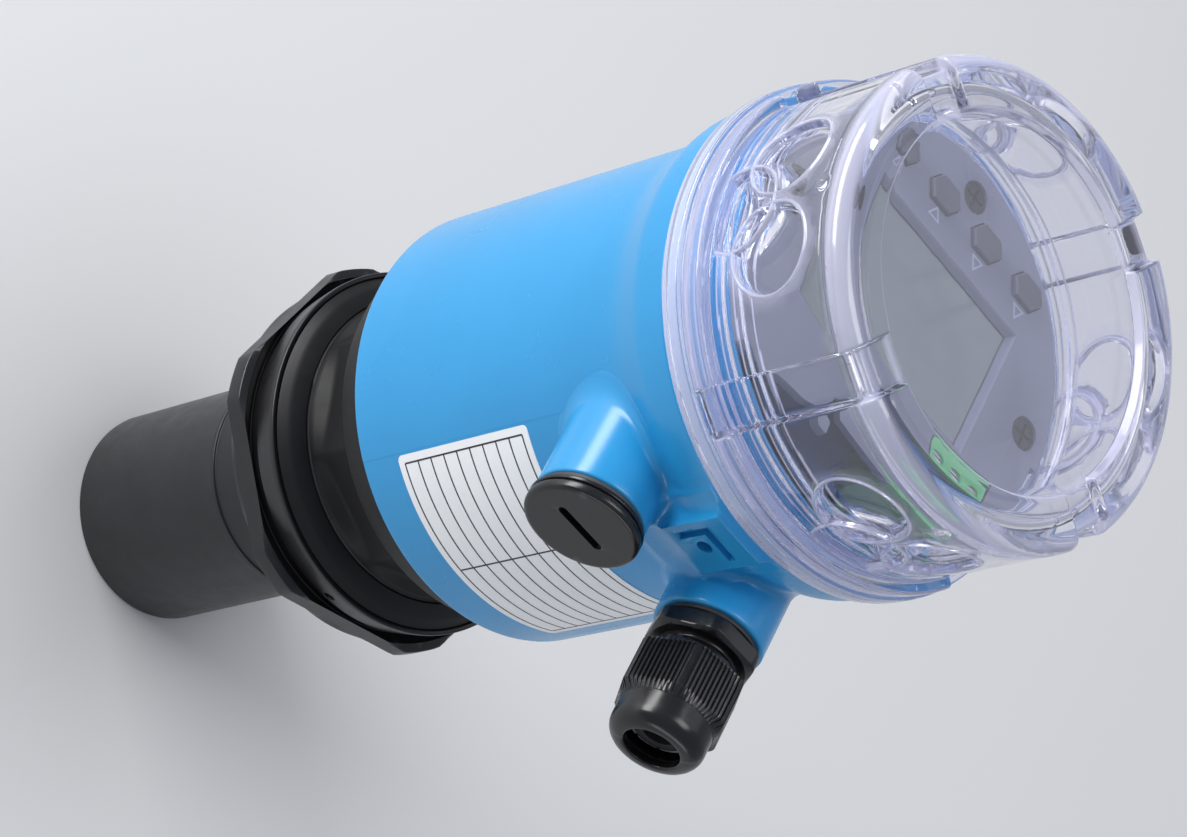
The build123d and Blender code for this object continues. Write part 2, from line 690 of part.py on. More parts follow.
with BuildPart() as cover:
    with BuildSketch(Plane.XZ):
        with BuildLine():
            Polyline((0, cover_z), (skirt_radius - bead_step, cover_z), (skirt_radius, cover_z + bead_step),
                     (skirt_radius, skirt_groove_z - bead_step), (skirt_radius - bead_step, skirt_groove_z),
                     (skirt_radius - 2 * bead_step, skirt_groove_z + skirt_groove / 2),
                     (skirt_radius - 2 * bead_step, skirt_high_z),
                     (skirt_radius - bead_step, skirt_high_z + bead_step),
                     (skirt_radius - bead_step, skirt_top - bead_step), (skirt_radius - 2 * bead_step, skirt_top),
                     (pad_radius, skirt_top + bead_step), (pad_radius, cover_top - rim_outer_round))
            RadiusArc((pad_radius, cover_top - rim_outer_round), (pad_radius - rim_outer_round, cover_top),
                      -rim_outer_round)
            Polyline((pad_radius - rim_outer_round, cover_top), (rim_inner_radius, cover_top),
                     (rim_inner_radius - rim_rise / 3, window_top), (0, window_top), (0, cover_z))
        make_face()
    revolve(axis=Axis.Z)
    # Wrench grooves down the side and across the front rim
    groove_depth = skirt_radius - groove_floor_radius + 1
    with BuildSketch(Plane.XY.offset(skirt_groove_z)):
        with PolarLocations(groove_floor_radius + groove_depth / 2, pad_count, start_angle=cover_turn - 90):
            Rectangle(groove_depth, groove_width)
    extrude(amount=cover_height, mode=Mode.SUBTRACT)
    with BuildSketch(Plane.XY.offset(window_top)):
        channel_length = pad_radius - rim_inner_radius + rim_rise
        with PolarLocations(rim_inner_radius - rim_rise + channel_length / 2, pad_count,
                            start_angle=cover_turn - 90):
            Rectangle(channel_length, groove_width)
    extrude(amount=rim_rise + 1, mode=Mode.SUBTRACT)
    # Round pockets in the pads
    with PolarLocations(0, pad_count, start_angle=cover_turn + pad_angle / 2):
        add(pad_pockets.part, mode=Mode.SUBTRACT)
    # Hollow over the collar and the panel, and the seal's pocket in the skirt
    with BuildSketch(Plane.XZ):
        with BuildLine():
            Polyline((0, cover_z - 1), (seal_pocket_radius, cover_z - 1), (seal_pocket_radius, seal_ceiling),
                     (cover_bore, seal_ceiling), (cover_bore, ceiling_z - cover_inner_round))
            RadiusArc((cover_bore, ceiling_z - cover_inner_round), (cover_bore - cover_inner_round, ceiling_z),
                      -cover_inner_round)
            Polyline((cover_bore - cover_inner_round, ceiling_z), (0, ceiling_z), (0, cover_z - 1))
        make_face()
    revolve(axis=Axis.Z, mode=Mode.SUBTRACT)

with BuildPart() as cover_seal:
    with BuildSketch(Plane.XY.offset(flange_top + seat_gap)):
        Circle(cover_seal_outer)
        Circle(collar_radius + cover_seal_gap, mode=Mode.SUBTRACT)
    extrude(amount=cover_seal_height)

# Operator panel: disc with straight lower sides and a stepped lower edge
window_low = window_centre - window_height / 2
with BuildPart() as display_panel:
    with BuildSketch(Plane.XY.offset(panel_z)):
        Circle(panel_radius)
        with Locations((0, (panel_radius - panel_lower_edge) / 2 + 1)):
            Rectangle(2 * panel_radius, panel_radius + panel_lower_edge + 2, mode=Mode.INTERSECT)
        with Locations((panel_radius / 2 + panel_step_from, -(panel_step_edge + panel_radius) / 2)):
            Rectangle(panel_radius, panel_radius - panel_step_edge, mode=Mode.SUBTRACT)
        for side in (-1, 1):
            with Locations((side * (panel_side_half + panel_radius) / 2, -panel_radius / 2)):
                Rectangle(panel_radius - panel_side_half, panel_radius, mode=Mode.SUBTRACT)
        with Locations((terminal_x, terminal_y - terminal_depth / 2)):
            Rectangle(terminal_poles * terminal_pitch + 4 * key_gap, 2 * terminal_depth + 4 * key_gap,
                      mode=Mode.SUBTRACT)
        with Locations((0, window_centre)):
            Rectangle(window_width, window_height, mode=Mode.SUBTRACT)
    extrude(amount=panel_thickness)
    chamfer(display_panel.edges().group_by(Axis.Z)[-1].filter_by(GeomType.LINE).filter_by(
        lambda edge: abs(edge.center().X) < window_width / 2 + 0.1
        and window_low - 0.1 < edge.center().Y < window_low + window_height + 0.1), length=window_frame)
    # Bosses under the screw recesses
    with BuildSketch(Plane.XY.offset(panel_z)):
        for angle in screw_angles:
            with PolarLocations(screw_ring_radius, 1, start_angle=angle):
                Circle(screw_boss_radius)
        Circle(collar_bore - key_gap, mode=Mode.INTERSECT)
    extrude(amount=-screw_boss_depth)
    with BuildSketch(Plane.XY.offset(panel_top)):
        for angle in screw_angles:
            with PolarLocations(screw_ring_radius, 1, start_angle=angle):
                Circle(screw_recess_radius)
    extrude(amount=-screw_recess_depth, mode=Mode.SUBTRACT)
    with BuildSketch(Plane.XY.offset(panel_top)):
        for angle in screw_angles:
            with PolarLocations(screw_ring_radius, 1, start_angle=angle):
                Circle(screw_shank_radius + key_gap)
    extrude(amount=-(panel_thickness + screw_boss_depth), mode=Mode.SUBTRACT)
    # Key openings
    with BuildSketch(Plane.XY.offset(panel_z)):
        for place in key_places:
            with Locations((place, key_row)):
                half_length = key_length / 2 + key_gap
                half_width = key_width / 2 + key_gap
                Polygon((-half_length, 0), (key_corner - half_length, half_width),
                        (half_length - key_corner, half_width), (half_length, 0),
                        (half_length - key_corner, -half_width), (key_corner - half_length, -half_width))
    extrude(amount=panel_thickness, mode=Mode.SUBTRACT)

with BuildPart() as panel_screws:
    for angle in screw_angles:
        head_z = panel_top - screw_recess_depth
        with BuildSketch(Plane.XY.offset(head_z)):
            with PolarLocations(screw_ring_radius, 1, start_angle=angle):
                Circle(screw_head_radius)
        extrude(amount=screw_head_height)
        with BuildSketch(Plane.XY.offset(head_z)):
            with PolarLocations(screw_ring_radius, 1, start_angle=angle):
                Circle(screw_shank_radius)
        extrude(amount=-screw_length)
        with BuildSketch(Plane.XY.offset(head_z + screw_head_height)):
            with PolarLocations(screw_ring_radius, 1, start_angle=angle):
                Rectangle(3 * screw_shank_radius, screw_cross)
                Rectangle(screw_cross, 3 * screw_shank_radius)
        extrude(amount=-screw_head_height / 2, mode=Mode.SUBTRACT)

# Display module under the panel's window
with BuildPart() as lcd_module:
    with BuildSketch(Plane.XY.offset(lcd_z)):
        with Locations((0, window_centre)):
            Rectangle(lcd_width, lcd_height)
    extrude(amount=lcd_thickness)
    with BuildSketch(Plane.XY.offset(panel_z)):
        with Locations((0, window_centre)):
            Rectangle(window_width - 2 * lcd_glass_gap, window_height - 2 * lcd_glass_gap)
    extrude(amount=panel_thickness - window_frame - lcd_below_frame)

# Display board with the key switches on it
with BuildPart() as display_board:
    with BuildSketch(Plane.XY.offset(display_board_z)):
        with Locations((0, (display_board_low + display_board_high) / 2)):
            Rectangle(2 * display_board_half_width, display_board_high - display_board_low)
        Circle(display_board_radius, mode=Mode.INTERSECT)
        for angle in screw_angles:
            with PolarLocations(screw_ring_radius, 1, start_angle=angle):
                Circle(post_radius + 2 * loose_gap, mode=Mode.SUBTRACT)
    extrude(amount=board_thickness)

with BuildPart() as tact_switches:
    with BuildSketch(Plane.XY.offset(lcd_z)):
        for place in key_places:
            with Locations((place, key_row)):
                Rectangle(switch_size, switch_size)
    extrude(amount=switch_height)

# Keys: an elongated hexagon through the panel, a flange under it and a stem towards the switch
key_flange_z = panel_z - key_flange_thickness - seat_gap
keys = []
for number, place in enumerate(key_places):
    with BuildPart() as key:
        with BuildSketch(Plane.XY.offset(panel_z - seat_gap)):
            with Locations((place, key_row)):
                Polygon((-key_length / 2, 0), (key_corner - key_length / 2, key_width / 2),
                        (key_length / 2 - key_corner, key_width / 2), (key_length / 2, 0),
                        (key_length / 2 - key_corner, -key_width / 2), (key_corner - key_length / 2, -key_width / 2))
        extrude(amount=panel_thickness + key_proud + seat_gap)
        fillet(key.edges().group_by(Axis.Z)[-1], radius=key_edge)
        with BuildSketch(Plane.XY.offset(key_flange_z)):
            with Locations((place, key_row)):
                Rectangle(key_flange_length, key_flange_width)
            for angle in screw_angles:
                with PolarLocations(screw_ring_radius, 1, start_angle=angle):
                    Circle(screw_boss_radius + key_gap, mode=Mode.SUBTRACT)
            Circle(collar_bore - key_gap, mode=Mode.INTERSECT)
        extrude(amount=key_flange_thickness)
        with BuildSketch(Plane.XY.offset(lcd_z + switch_height + key_travel + seat_gap)):
            with Locations((place, key_row)):
                Circle(key_stem_radius)
        extrude(until=Until.NEXT)
    key.part.label = "key_" + str(number + 1)
    keys.append(key.part)

# Terminal board on the housing's ledges, with the header, the plug and its screws
with BuildPart() as terminal_board:
    with BuildSketch(Plane.XY.offset(terminal_board_z)):
        Circle(terminal_board_radius)
        for angle in screw_angles:
            with PolarLocations(screw_ring_radius + post_radius, 1, start_angle=angle):
                Rectangle(4 * post_radius + 2 * loose_gap, 2 * post_radius + 2 * loose_gap, mode=Mode.SUBTRACT)
    extrude(amount=board_thickness)

terminal_width = terminal_poles * terminal_pitch
header_top = terminal_board_top + terminal_header_height
plug_top = header_top + terminal_plug_height
with BuildPart() as terminal_header:
    with BuildSketch(Plane.XY.offset(terminal_board_top)):
        with Locations((terminal_x, terminal_y)):
            Rectangle(terminal_width, terminal_depth)
    extrude(amount=terminal_header_height)
    with BuildSketch(Plane.XY.offset(header_top)):
        with Locations((terminal_x, terminal_y + terminal_key_depth / 2)):
            Rectangle(terminal_width - 2 * terminal_wall, terminal_depth - terminal_key_depth - terminal_wall)
    extrude(amount=-terminal_header_height / 2, mode=Mode.SUBTRACT)

with BuildPart() as terminal_plug:
    with BuildSketch(Plane.XY.offset(header_top)):
        with Locations((terminal_x, terminal_y)):
            Rectangle(terminal_width, terminal_depth)
    extrude(amount=terminal_plug_height)
    with BuildSketch(Plane.XY.offset(header_top)):
        with Locations((terminal_x, terminal_y + terminal_key_depth / 2)):
            Rectangle(terminal_width - 2 * terminal_wall - 2 * terminal_plug_gap,
                      terminal_depth - terminal_key_depth - terminal_wall - 2 * terminal_plug_gap)
    extrude(amount=-terminal_header_height / 2 + seat_gap)
    with BuildSketch(facing_out.offset(-terminal_y + terminal_depth / 2)):
        with Locations((terminal_x, header_top + wire_entry)):
            with GridLocations(terminal_pitch, 1, terminal_poles, 1):
                Rectangle(wire_entry, wire_entry)
    extrude(amount=-terminal_depth / 2, mode=Mode.SUBTRACT)
    with BuildSketch(Plane.XY.offset(plug_top)):
        with Locations((terminal_x, terminal_y)):
            with GridLocations(terminal_pitch, 1, terminal_poles, 1):
                Circle(terminal_screw_radius)
    extrude(amount=-terminal_plug_height / 2, mode=Mode.SUBTRACT)

with BuildPart() as terminal_screws:
    with BuildSketch(Plane.XY.offset(plug_top - terminal_plug_height / 2)):
        with Locations((terminal_x, terminal_y)):
            with GridLocations(terminal_pitch, 1, terminal_poles, 1):
                Circle(terminal_screw_radius - seat_gap)
    extrude(amount=terminal_plug_height / 2 - terminal_screw_drop)
    with BuildSketch(Plane.XY.offset(plug_top - terminal_screw_drop)):
        with Locations((terminal_x, terminal_y)):
            with GridLocations(terminal_pitch, 1, terminal_poles, 1):
                Rectangle(2.4 * terminal_screw_radius, screw_cross)
    extrude(amount=-terminal_screw_slot, mode=Mode.SUBTRACT)

with BuildPart() as main_board:
    with BuildSketch(Plane.XY.offset(spigot_top + seat_gap)):
        with Locations((0, main_board_y)):
            Rectangle(main_board_width, board_thickness)
    extrude(amount=main_board_height)

finished = {
    "transducer_body": transducer_body, "matching_layer": matching_layer, "piezo_disc": piezo_disc,
    "damping_fill": damping_fill, "body_seal": body_seal, "lock_nut": lock_nut, "nut_gasket": nut_gasket,
    "housing": housing, "rating_label": rating_label, "gland_body": gland_body, "gland_washer": gland_washer,
    "gland_nut": gland_nut, "gland_seal": gland_seal, "gland_claw": gland_claw, "blanking_plug": blanking_plug,
    "plug_seal": plug_seal, "cover": cover, "cover_seal": cover_seal, "display_panel": display_panel,
    "panel_screws": panel_screws, "lcd_module": lcd_module, "display_board": display_board,
    "tact_switches": tact_switches, "terminal_board": terminal_board, "terminal_header": terminal_header,
    "terminal_plug": terminal_plug, "terminal_screws": terminal_screws, "main_board": main_board,
}
for name, piece in finished.items():
    piece.part.label = name
    export_step(piece.part, "parts/" + name + ".step")
for key_part in keys:
    export_step(key_part, "parts/" + key_part.label + ".step")
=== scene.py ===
# %% [markdown]
# Ultrasonic level sensor: the looks
#
# The model that this script dresses is a level sensor for tanks. A black tube sends sound down onto the
# liquid, a blue housing holds the electronics, and a clear screw cover lets the reader see the display. The
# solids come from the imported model, in metres, standing upright with the tube's face at the origin. Each
# step below first says what the real piece is and how it is made, and then builds or paints it.

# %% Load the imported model
import bmesh
import bpy
from math import asin, atan2, copysign, cos, degrees, hypot, pi, radians, sin, sqrt, tan
from mathutils import Matrix, Vector
from mathutils.geometry import delaunay_2d_cdt


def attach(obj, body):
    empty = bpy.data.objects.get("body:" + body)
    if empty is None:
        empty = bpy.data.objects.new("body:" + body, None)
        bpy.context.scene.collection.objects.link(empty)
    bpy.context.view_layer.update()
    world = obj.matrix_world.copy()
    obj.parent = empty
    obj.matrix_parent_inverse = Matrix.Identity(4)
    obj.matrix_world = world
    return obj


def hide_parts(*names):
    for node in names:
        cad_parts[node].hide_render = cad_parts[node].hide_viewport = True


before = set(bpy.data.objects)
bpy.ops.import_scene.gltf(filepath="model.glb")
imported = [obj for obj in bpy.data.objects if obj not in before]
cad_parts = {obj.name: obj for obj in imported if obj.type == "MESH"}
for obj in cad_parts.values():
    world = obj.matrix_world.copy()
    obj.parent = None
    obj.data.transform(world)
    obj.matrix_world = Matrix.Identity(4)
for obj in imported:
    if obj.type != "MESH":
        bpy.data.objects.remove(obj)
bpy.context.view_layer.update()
MM = 0.001

# %% [markdown]
# Camera
#
# The photograph looks down on the sensor from its gland side and is turned so that the sensor points to the
# upper right. The sensor keeps standing on its tube here, and the camera is rolled instead. The direction,
# the roll and the lens were found by fitting the circles of the cover, housing and tube to the photograph.

# %% Place the camera
VIEW_AZIMUTH = 37.74        # degrees from +Y towards +X that the camera looks along
VIEW_DOWN = 44.32           # degrees below the horizon
VIEW_ROLL = 76.11
VIEW_LENS = 122.96
VIEW_SHIFT = (-0.044, -0.004)   # the picture is cut from a larger frame
CAMERA_PLACE = Vector((-323.6, -423.6, 664.4)) * MM

flat_right = Vector((cos(radians(VIEW_AZIMUTH)), -sin(radians(VIEW_AZIMUTH)), 0))
sight = Vector((sin(radians(VIEW_AZIMUTH)) * cos(radians(VIEW_DOWN)),
                cos(radians(VIEW_AZIMUTH)) * cos(radians(VIEW_DOWN)), -sin(radians(VIEW_DOWN))))
flat_up = flat_right.cross(sight)
view_right = flat_right * cos(radians(VIEW_ROLL)) + flat_up * sin(radians(VIEW_ROLL))
view_up = flat_up * cos(radians(VIEW_ROLL)) - flat_right * sin(radians(VIEW_ROLL))

camera = bpy.data.objects.new("camera", bpy.data.cameras.new("camera"))
bpy.context.scene.collection.objects.link(camera)
camera.data.sensor_width = 36
camera.data.lens = VIEW_LENS
camera.data.shift_x, camera.data.shift_y = VIEW_SHIFT
camera.data.clip_start = 0.02
camera.data.clip_end = 20
camera_turn = Matrix((view_right, view_up, -sight)).transposed().to_4x4()
camera.matrix_world = Matrix.Translation(CAMERA_PLACE) @ camera_turn
bpy.context.scene.camera = camera
print("camera looks along", [round(s, 3) for s in sight])

# %% [markdown]
# Floor and studio light
#
# A pale floor and large soft lamps suit moulded plastic, because a smooth surface shows what it reflects.
# The lamps are placed by the picture's own right, up and back directions, so that they are easy to think
# about.

# %% Light the studio
MIDDLE = Vector((0, 0, 120)) * MM
FLOOR_HALF = 3.0
AIR_COLOUR, AIR_STRENGTH = (0.85, 0.9, 1.0, 1), 0.36


def soft_lamp(name, right, up, back, size, power, colour=(1, 1, 1)):
    """An area lamp at a place given in the picture's directions, turned towards the middle of the sensor."""
    lamp = bpy.data.objects.new(name, bpy.data.lights.new(name, "AREA"))
    bpy.context.scene.collection.objects.link(lamp)
    lamp.data.shape = "RECTANGLE"
    lamp.data.size, lamp.data.size_y = size
    lamp.data.energy = power
    lamp.data.color = colour
    lamp.location = MIDDLE + view_right * right + view_up * up - sight * back
    lamp.rotation_mode = "QUATERNION"
    lamp.rotation_quaternion = (MIDDLE - lamp.location).to_track_quat("-Z", "Y")
    return lamp


soft_lamp("key_lamp", -0.35, 0.85, 0.45, (1.0, 0.35), 12)
soft_lamp("front_lamp", 0.9, 0.25, 0.8, (0.6, 0.6), 5)
soft_lamp("low_lamp", -0.3, -0.9, 0.35, (0.9, 0.2), 2.5)
window_lamp = soft_lamp("window_lamp", 0, 0, 0, (0.55, 0.9), 1.0, (0.93, 0.94, 1.0))

# This one stands where the flat window of the cover mirrors it into the lens, as a faint haze.
mirrored = Vector((sight.x, sight.y, -sight.z))
window_lamp.location = MIDDLE + mirrored * 1.1 + view_right * 0.15
window_lamp.rotation_quaternion = (-mirrored).to_track_quat("-Z", "Y")
bpy.context.scene.view_settings.view_transform = "Standard"

world = bpy.data.worlds.new("studio_air")
bpy.context.scene.world = world
world.use_nodes = True
air = world.node_tree.nodes["Background"].inputs
air["Color"].default_value = AIR_COLOUR
air["Strength"].default_value = AIR_STRENGTH

floor_mesh = bpy.data.meshes.new("studio_floor")
floor_corners = [(x * FLOOR_HALF, y * FLOOR_HALF, 0) for x, y in ((-1, -1), (1, -1), (1, 1), (-1, 1))]
floor_mesh.from_pydata(floor_corners, [], [(0, 1, 2, 3)])
floor = bpy.data.objects.new("studio_floor", floor_mesh)
floor.location.z = -0.1 * MM
bpy.context.scene.collection.objects.link(floor)
print("lamps:", [lamp.name for lamp in bpy.data.lights])

# %% [markdown]
# Materials: tools first
#
# Nearly every piece of this sensor is moulded plastic or rubber, and each gets its look from how it was
# made. A mould leaves a fine grain and the melt leaves slow waves. Convex edges are drawn lighter, partly as
# wear from hands and spanners and partly as a painted highlight. A surface like that is built from nodes
# here.
# Their scales are real lengths in millimetres, because the pieces are that size.

# %% Colour and node helpers
def linear(code):
    """An sRGB hex colour as the linear values that the shader wants."""
    parts = [int(code[place:place + 2], 16) / 255 for place in (1, 3, 5)]
    return [p / 12.92 if p <= 0.04045 else ((p + 0.055) / 1.055) ** 2.4 for p in parts] + [1]


def add_node(tree, kind, inputs=None, **settings):
    """Adds one node, changes its settings, and gives its inputs a value or another node's output."""
    made = tree.nodes.new(kind)
    for name, value in settings.items():
        setattr(made, name, value)
    for name, value in (inputs or {}).items():
        if isinstance(value, bpy.types.NodeSocket):
            tree.links.new(value, made.inputs[name])
        else:
            made.inputs[name].default_value = value
    return made


def fresh_material(name):
    """An empty node material, its tree and the object coordinates, which are metres in the model's frame."""
    material = bpy.data.materials.new(name)
    material.use_nodes = True
    material.node_tree.nodes.clear()
    return material, material.node_tree, add_node(material.node_tree, "ShaderNodeTexCoord").outputs["Object"]


print("a middle grey in linear light:", round(linear("#808080")[0], 3))

# %% Make a moulded surface
def moulded(name, colour, streak, edge, roughness, spread, grain_mm, grain_depth_mm, flow_mm, flow_depth_mm,
            ior=1.5):
    """Moulded plastic or rubber: fine grain, slow flow waves, uneven gloss, and convex edges lighter, as wear
    and as a painted highlight.
    """
    material, tree, place = fresh_material(name)
    grain = add_node(tree, "ShaderNodeTexNoise", {"Vector": place, "Scale": 1 / (grain_mm * MM), "Detail": 2})
    flow = add_node(tree, "ShaderNodeTexNoise", {"Vector": place, "Scale": 1 / (flow_mm * MM), "Detail": 3,
                                                 "Distortion": 0.6})
    handled = add_node(tree, "ShaderNodeTexNoise", {"Vector": place, "Scale": 3 / (flow_mm * MM), "Detail": 5,
                                                    "Roughness": 0.6})
    streaks = add_node(tree, "ShaderNodeMapRange",
                       {"Value": flow.outputs["Fac"], "From Min": 0.35, "From Max": 0.7})
    body = add_node(tree, "ShaderNodeMix",
                    {"Factor": streaks.outputs["Result"], 6: linear(colour), 7: linear(streak)},
                    data_type="RGBA")
    # Convex edges are mixed towards the edge colour: partly wear, partly a painted highlight.
    bend = add_node(tree, "ShaderNodeNewGeometry")
    edges = add_node(tree, "ShaderNodeMapRange", {"Value": bend.outputs["Pointiness"], "From Min": 0.53,
                                                  "From Max": 0.6, "To Max": 0.45})
    tint = add_node(tree, "ShaderNodeMix",
                    {"Factor": edges.outputs["Result"], 6: body.outputs[2], 7: linear(edge)},
                    data_type="RGBA")
    gloss = add_node(tree, "ShaderNodeMapRange",
                     {"Value": handled.outputs["Fac"], "From Min": 0.3, "From Max": 0.7,
                      "To Min": roughness - spread, "To Max": roughness + spread})
    waves = add_node(tree, "ShaderNodeBump", {"Height": flow.outputs["Fac"], "Distance": flow_depth_mm * MM})
    skin = add_node(tree, "ShaderNodeBump", {"Height": grain.outputs["Fac"], "Distance": grain_depth_mm * MM,
                                             "Normal": waves.outputs["Normal"]})
    shader = add_node(tree, "ShaderNodeBsdfPrincipled",
                      {"Base Color": tint.outputs[2], "Roughness": gloss.outputs["Result"], "IOR": ior,
                       "Normal": skin.outputs["Normal"]})
    add_node(tree, "ShaderNodeOutputMaterial", {"Surface": shader.outputs["BSDF"]})
    print("made", name)
    return material


# %% [markdown]
# Materials: the opaque plastics and rubbers
#
# The housing is glossy light-blue ABS, the tube and nuts are black nylon with glass fibre, and the gasket
# is rubber. The panel is grey ABS with a matt spark-eroded grain. Real grain is about 0.05 mm wide, too
# fine to show in a picture of the whole sensor, so it is drawn several times coarser and very shallow.

# %% Make the opaque plastics and rubbers
# In each call the first line has the colours of the body, its streaks and its convex edges, which are lighter
# as wear and as a painted highlight. The second has the roughness and how far it wanders, then the width and
# depth of the grain and of the flow waves in mm.

# ABS from a polished mould: a soft bright highlight and hardly any grain.
blue_abs = moulded("blue_abs_gloss_moulded", "#2994CF", "#2790CA", "#2994CF",
                   0.26, 0.02, 0.8, 0.0006, 30, 0.006, ior=1.54)
# Nylon with glass fibre: satin, with a grain that breaks the highlight up.
black_nylon = moulded("black_glass_filled_nylon", "#1A1A1D", "#202023", "#4A4A50",
                      0.4, 0.05, 0.45, 0.008, 11, 0.015)
# Neck and shoulder of the same moulding: smoother, drawn darker as painted shade under the housing, and with
# a weaker reflection.
shaded_neck_nylon = moulded("black_nylon_neck_painted_shade", "#08080A", "#0C0C0E", "#33333A",
                         0.5, 0.03, 0.5, 0.003, 11, 0.004, ior=1.38)
# The nut's nylon: darker than the tube, with lighter edges from spanner wear and a painted highlight.
nut_nylon = moulded("black_nut_nylon_moulded", "#141416", "#19191B", "#505056",
                    0.32, 0.05, 0.5, 0.006, 12, 0.012)
# Polyamide from a polished mould: narrow highlights on the dome and the ribs.
gland_nylon = moulded("black_gland_polyamide", "#131315", "#18181A", "#4C4C52",
                      0.24, 0.04, 0.4, 0.003, 8, 0.006)
# EPDM rubber: nearly black and satin, and its bend is painted lighter as a soft highlight.
gasket_rubber = moulded("epdm_gasket_rubber", "#0A0A0C", "#0E0E10", "#222224",
                        0.42, 0.04, 0.35, 0.004, 9, 0.006, ior=1.45)
# Nitrile rubber: dark grey and matt.
seal_rubber = moulded("nitrile_seal_rubber", "#2A2A2C", "#323234", "#4A4A4C",
                      0.55, 0.05, 0.35, 0.01, 9, 0.02)
# Silicone: pale, so that it shows as a light ring through the clear skirt.
pale_silicone = moulded("pale_silicone_cover_seal", "#B9CDE2", "#AEC4DC", "#D8E4F0",
                        0.45, 0.05, 0.4, 0.006, 9, 0.01)
# ABS from a spark-eroded mould: matt, so the panel mirrors nothing.
panel_abs = moulded("grey_abs_spark_eroded", "#747989", "#6F7484", "#9A9EAE",
                    0.5, 0.05, 0.35, 0.006, 16, 0.01)
# Silicone rubber: darker than the panel, with a soft shine.
key_rubber = moulded("grey_silicone_keys", "#4B4E59", "#525560", "#70737F",
                     0.48, 0.05, 0.3, 0.006, 6, 0.01)
# PBT: bright green and satin, with lighter edges as wear and a painted highlight.
terminal_pbt = moulded("green_pbt_terminal", "#58C474", "#62CE7E", "#8EE2A2",
                       0.36, 0.05, 0.4, 0.006, 6, 0.01)
# Plastic of the switches: dark, plain and satin.
switch_plastic = moulded("black_switch_plastic", "#2B2B2F", "#333338", "#66666A",
                         0.45, 0.05, 0.4, 0.01, 4, 0.01)
# Nylon without fibre: off-white and satin.
claw_nylon = moulded("white_nylon_claw", "#D8D8D2", "#CFCFC8", "#F0F0EC",
                     0.4, 0.05, 0.4, 0.006, 6, 0.01)
# Poured epoxy: it sets in broad waves and stays glossy.
potting_epoxy = moulded("dark_potting_epoxy", "#2E2B33", "#37343C", "#57545C",
                        0.3, 0.08, 1.5, 0.02, 7, 0.05)
# Epoxy full of glass bubbles: grey and rough, with pits as wide as 0.7 mm.
matching_epoxy = moulded("glass_bubble_epoxy_face", "#8D8F8C", "#7C7E7C", "#B4B6B2",
                         0.58, 0.06, 0.7, 0.03, 7, 0.02)
# Sintered ceramic: sand-coloured and matt.
disc_ceramic = moulded("sintered_piezo_ceramic", "#B9A98A", "#AE9E80", "#D6C8AA",
                       0.5, 0.05, 0.6, 0.01, 9, 0.01)
# Polyester film with a matt face: white, with a wide weak highlight.
label_film = moulded("matt_polyester_label_film", "#EDEEF0", "#E6E8EB", "#F6F7F8",
                     0.44, 0.05, 0.5, 0.004, 18, 0.02)
# Screen-printed ink: solid black and matt.
label_ink = moulded("screen_print_ink_black", "#17181B", "#202126", "#2C2D32",
                    0.5, 0.05, 0.4, 0.004, 6, 0.01)
# Pad-printed ink: light grey and matt.
mark_ink = moulded("pad_print_ink_light_grey", "#A3A8BC", "#9CA1B5", "#C2C6D4",
                   0.5, 0.05, 0.4, 0.004, 6, 0.01)

# %% [markdown]
# Materials: the clear cover
#
# The cover is injection-moulded polycarbonate, with an index of refraction of 1.586. Light that falls on
# the panel has to pass it, and a path tracer finds that hard, so shadow and diffuse rays see it as nearly
# clear. Its surface has slow waves from the melt and fine hairlines from wiping. Where the mesh is marked,
# an opaque white layer is mixed in as painted highlights along its edges, rings and thread.

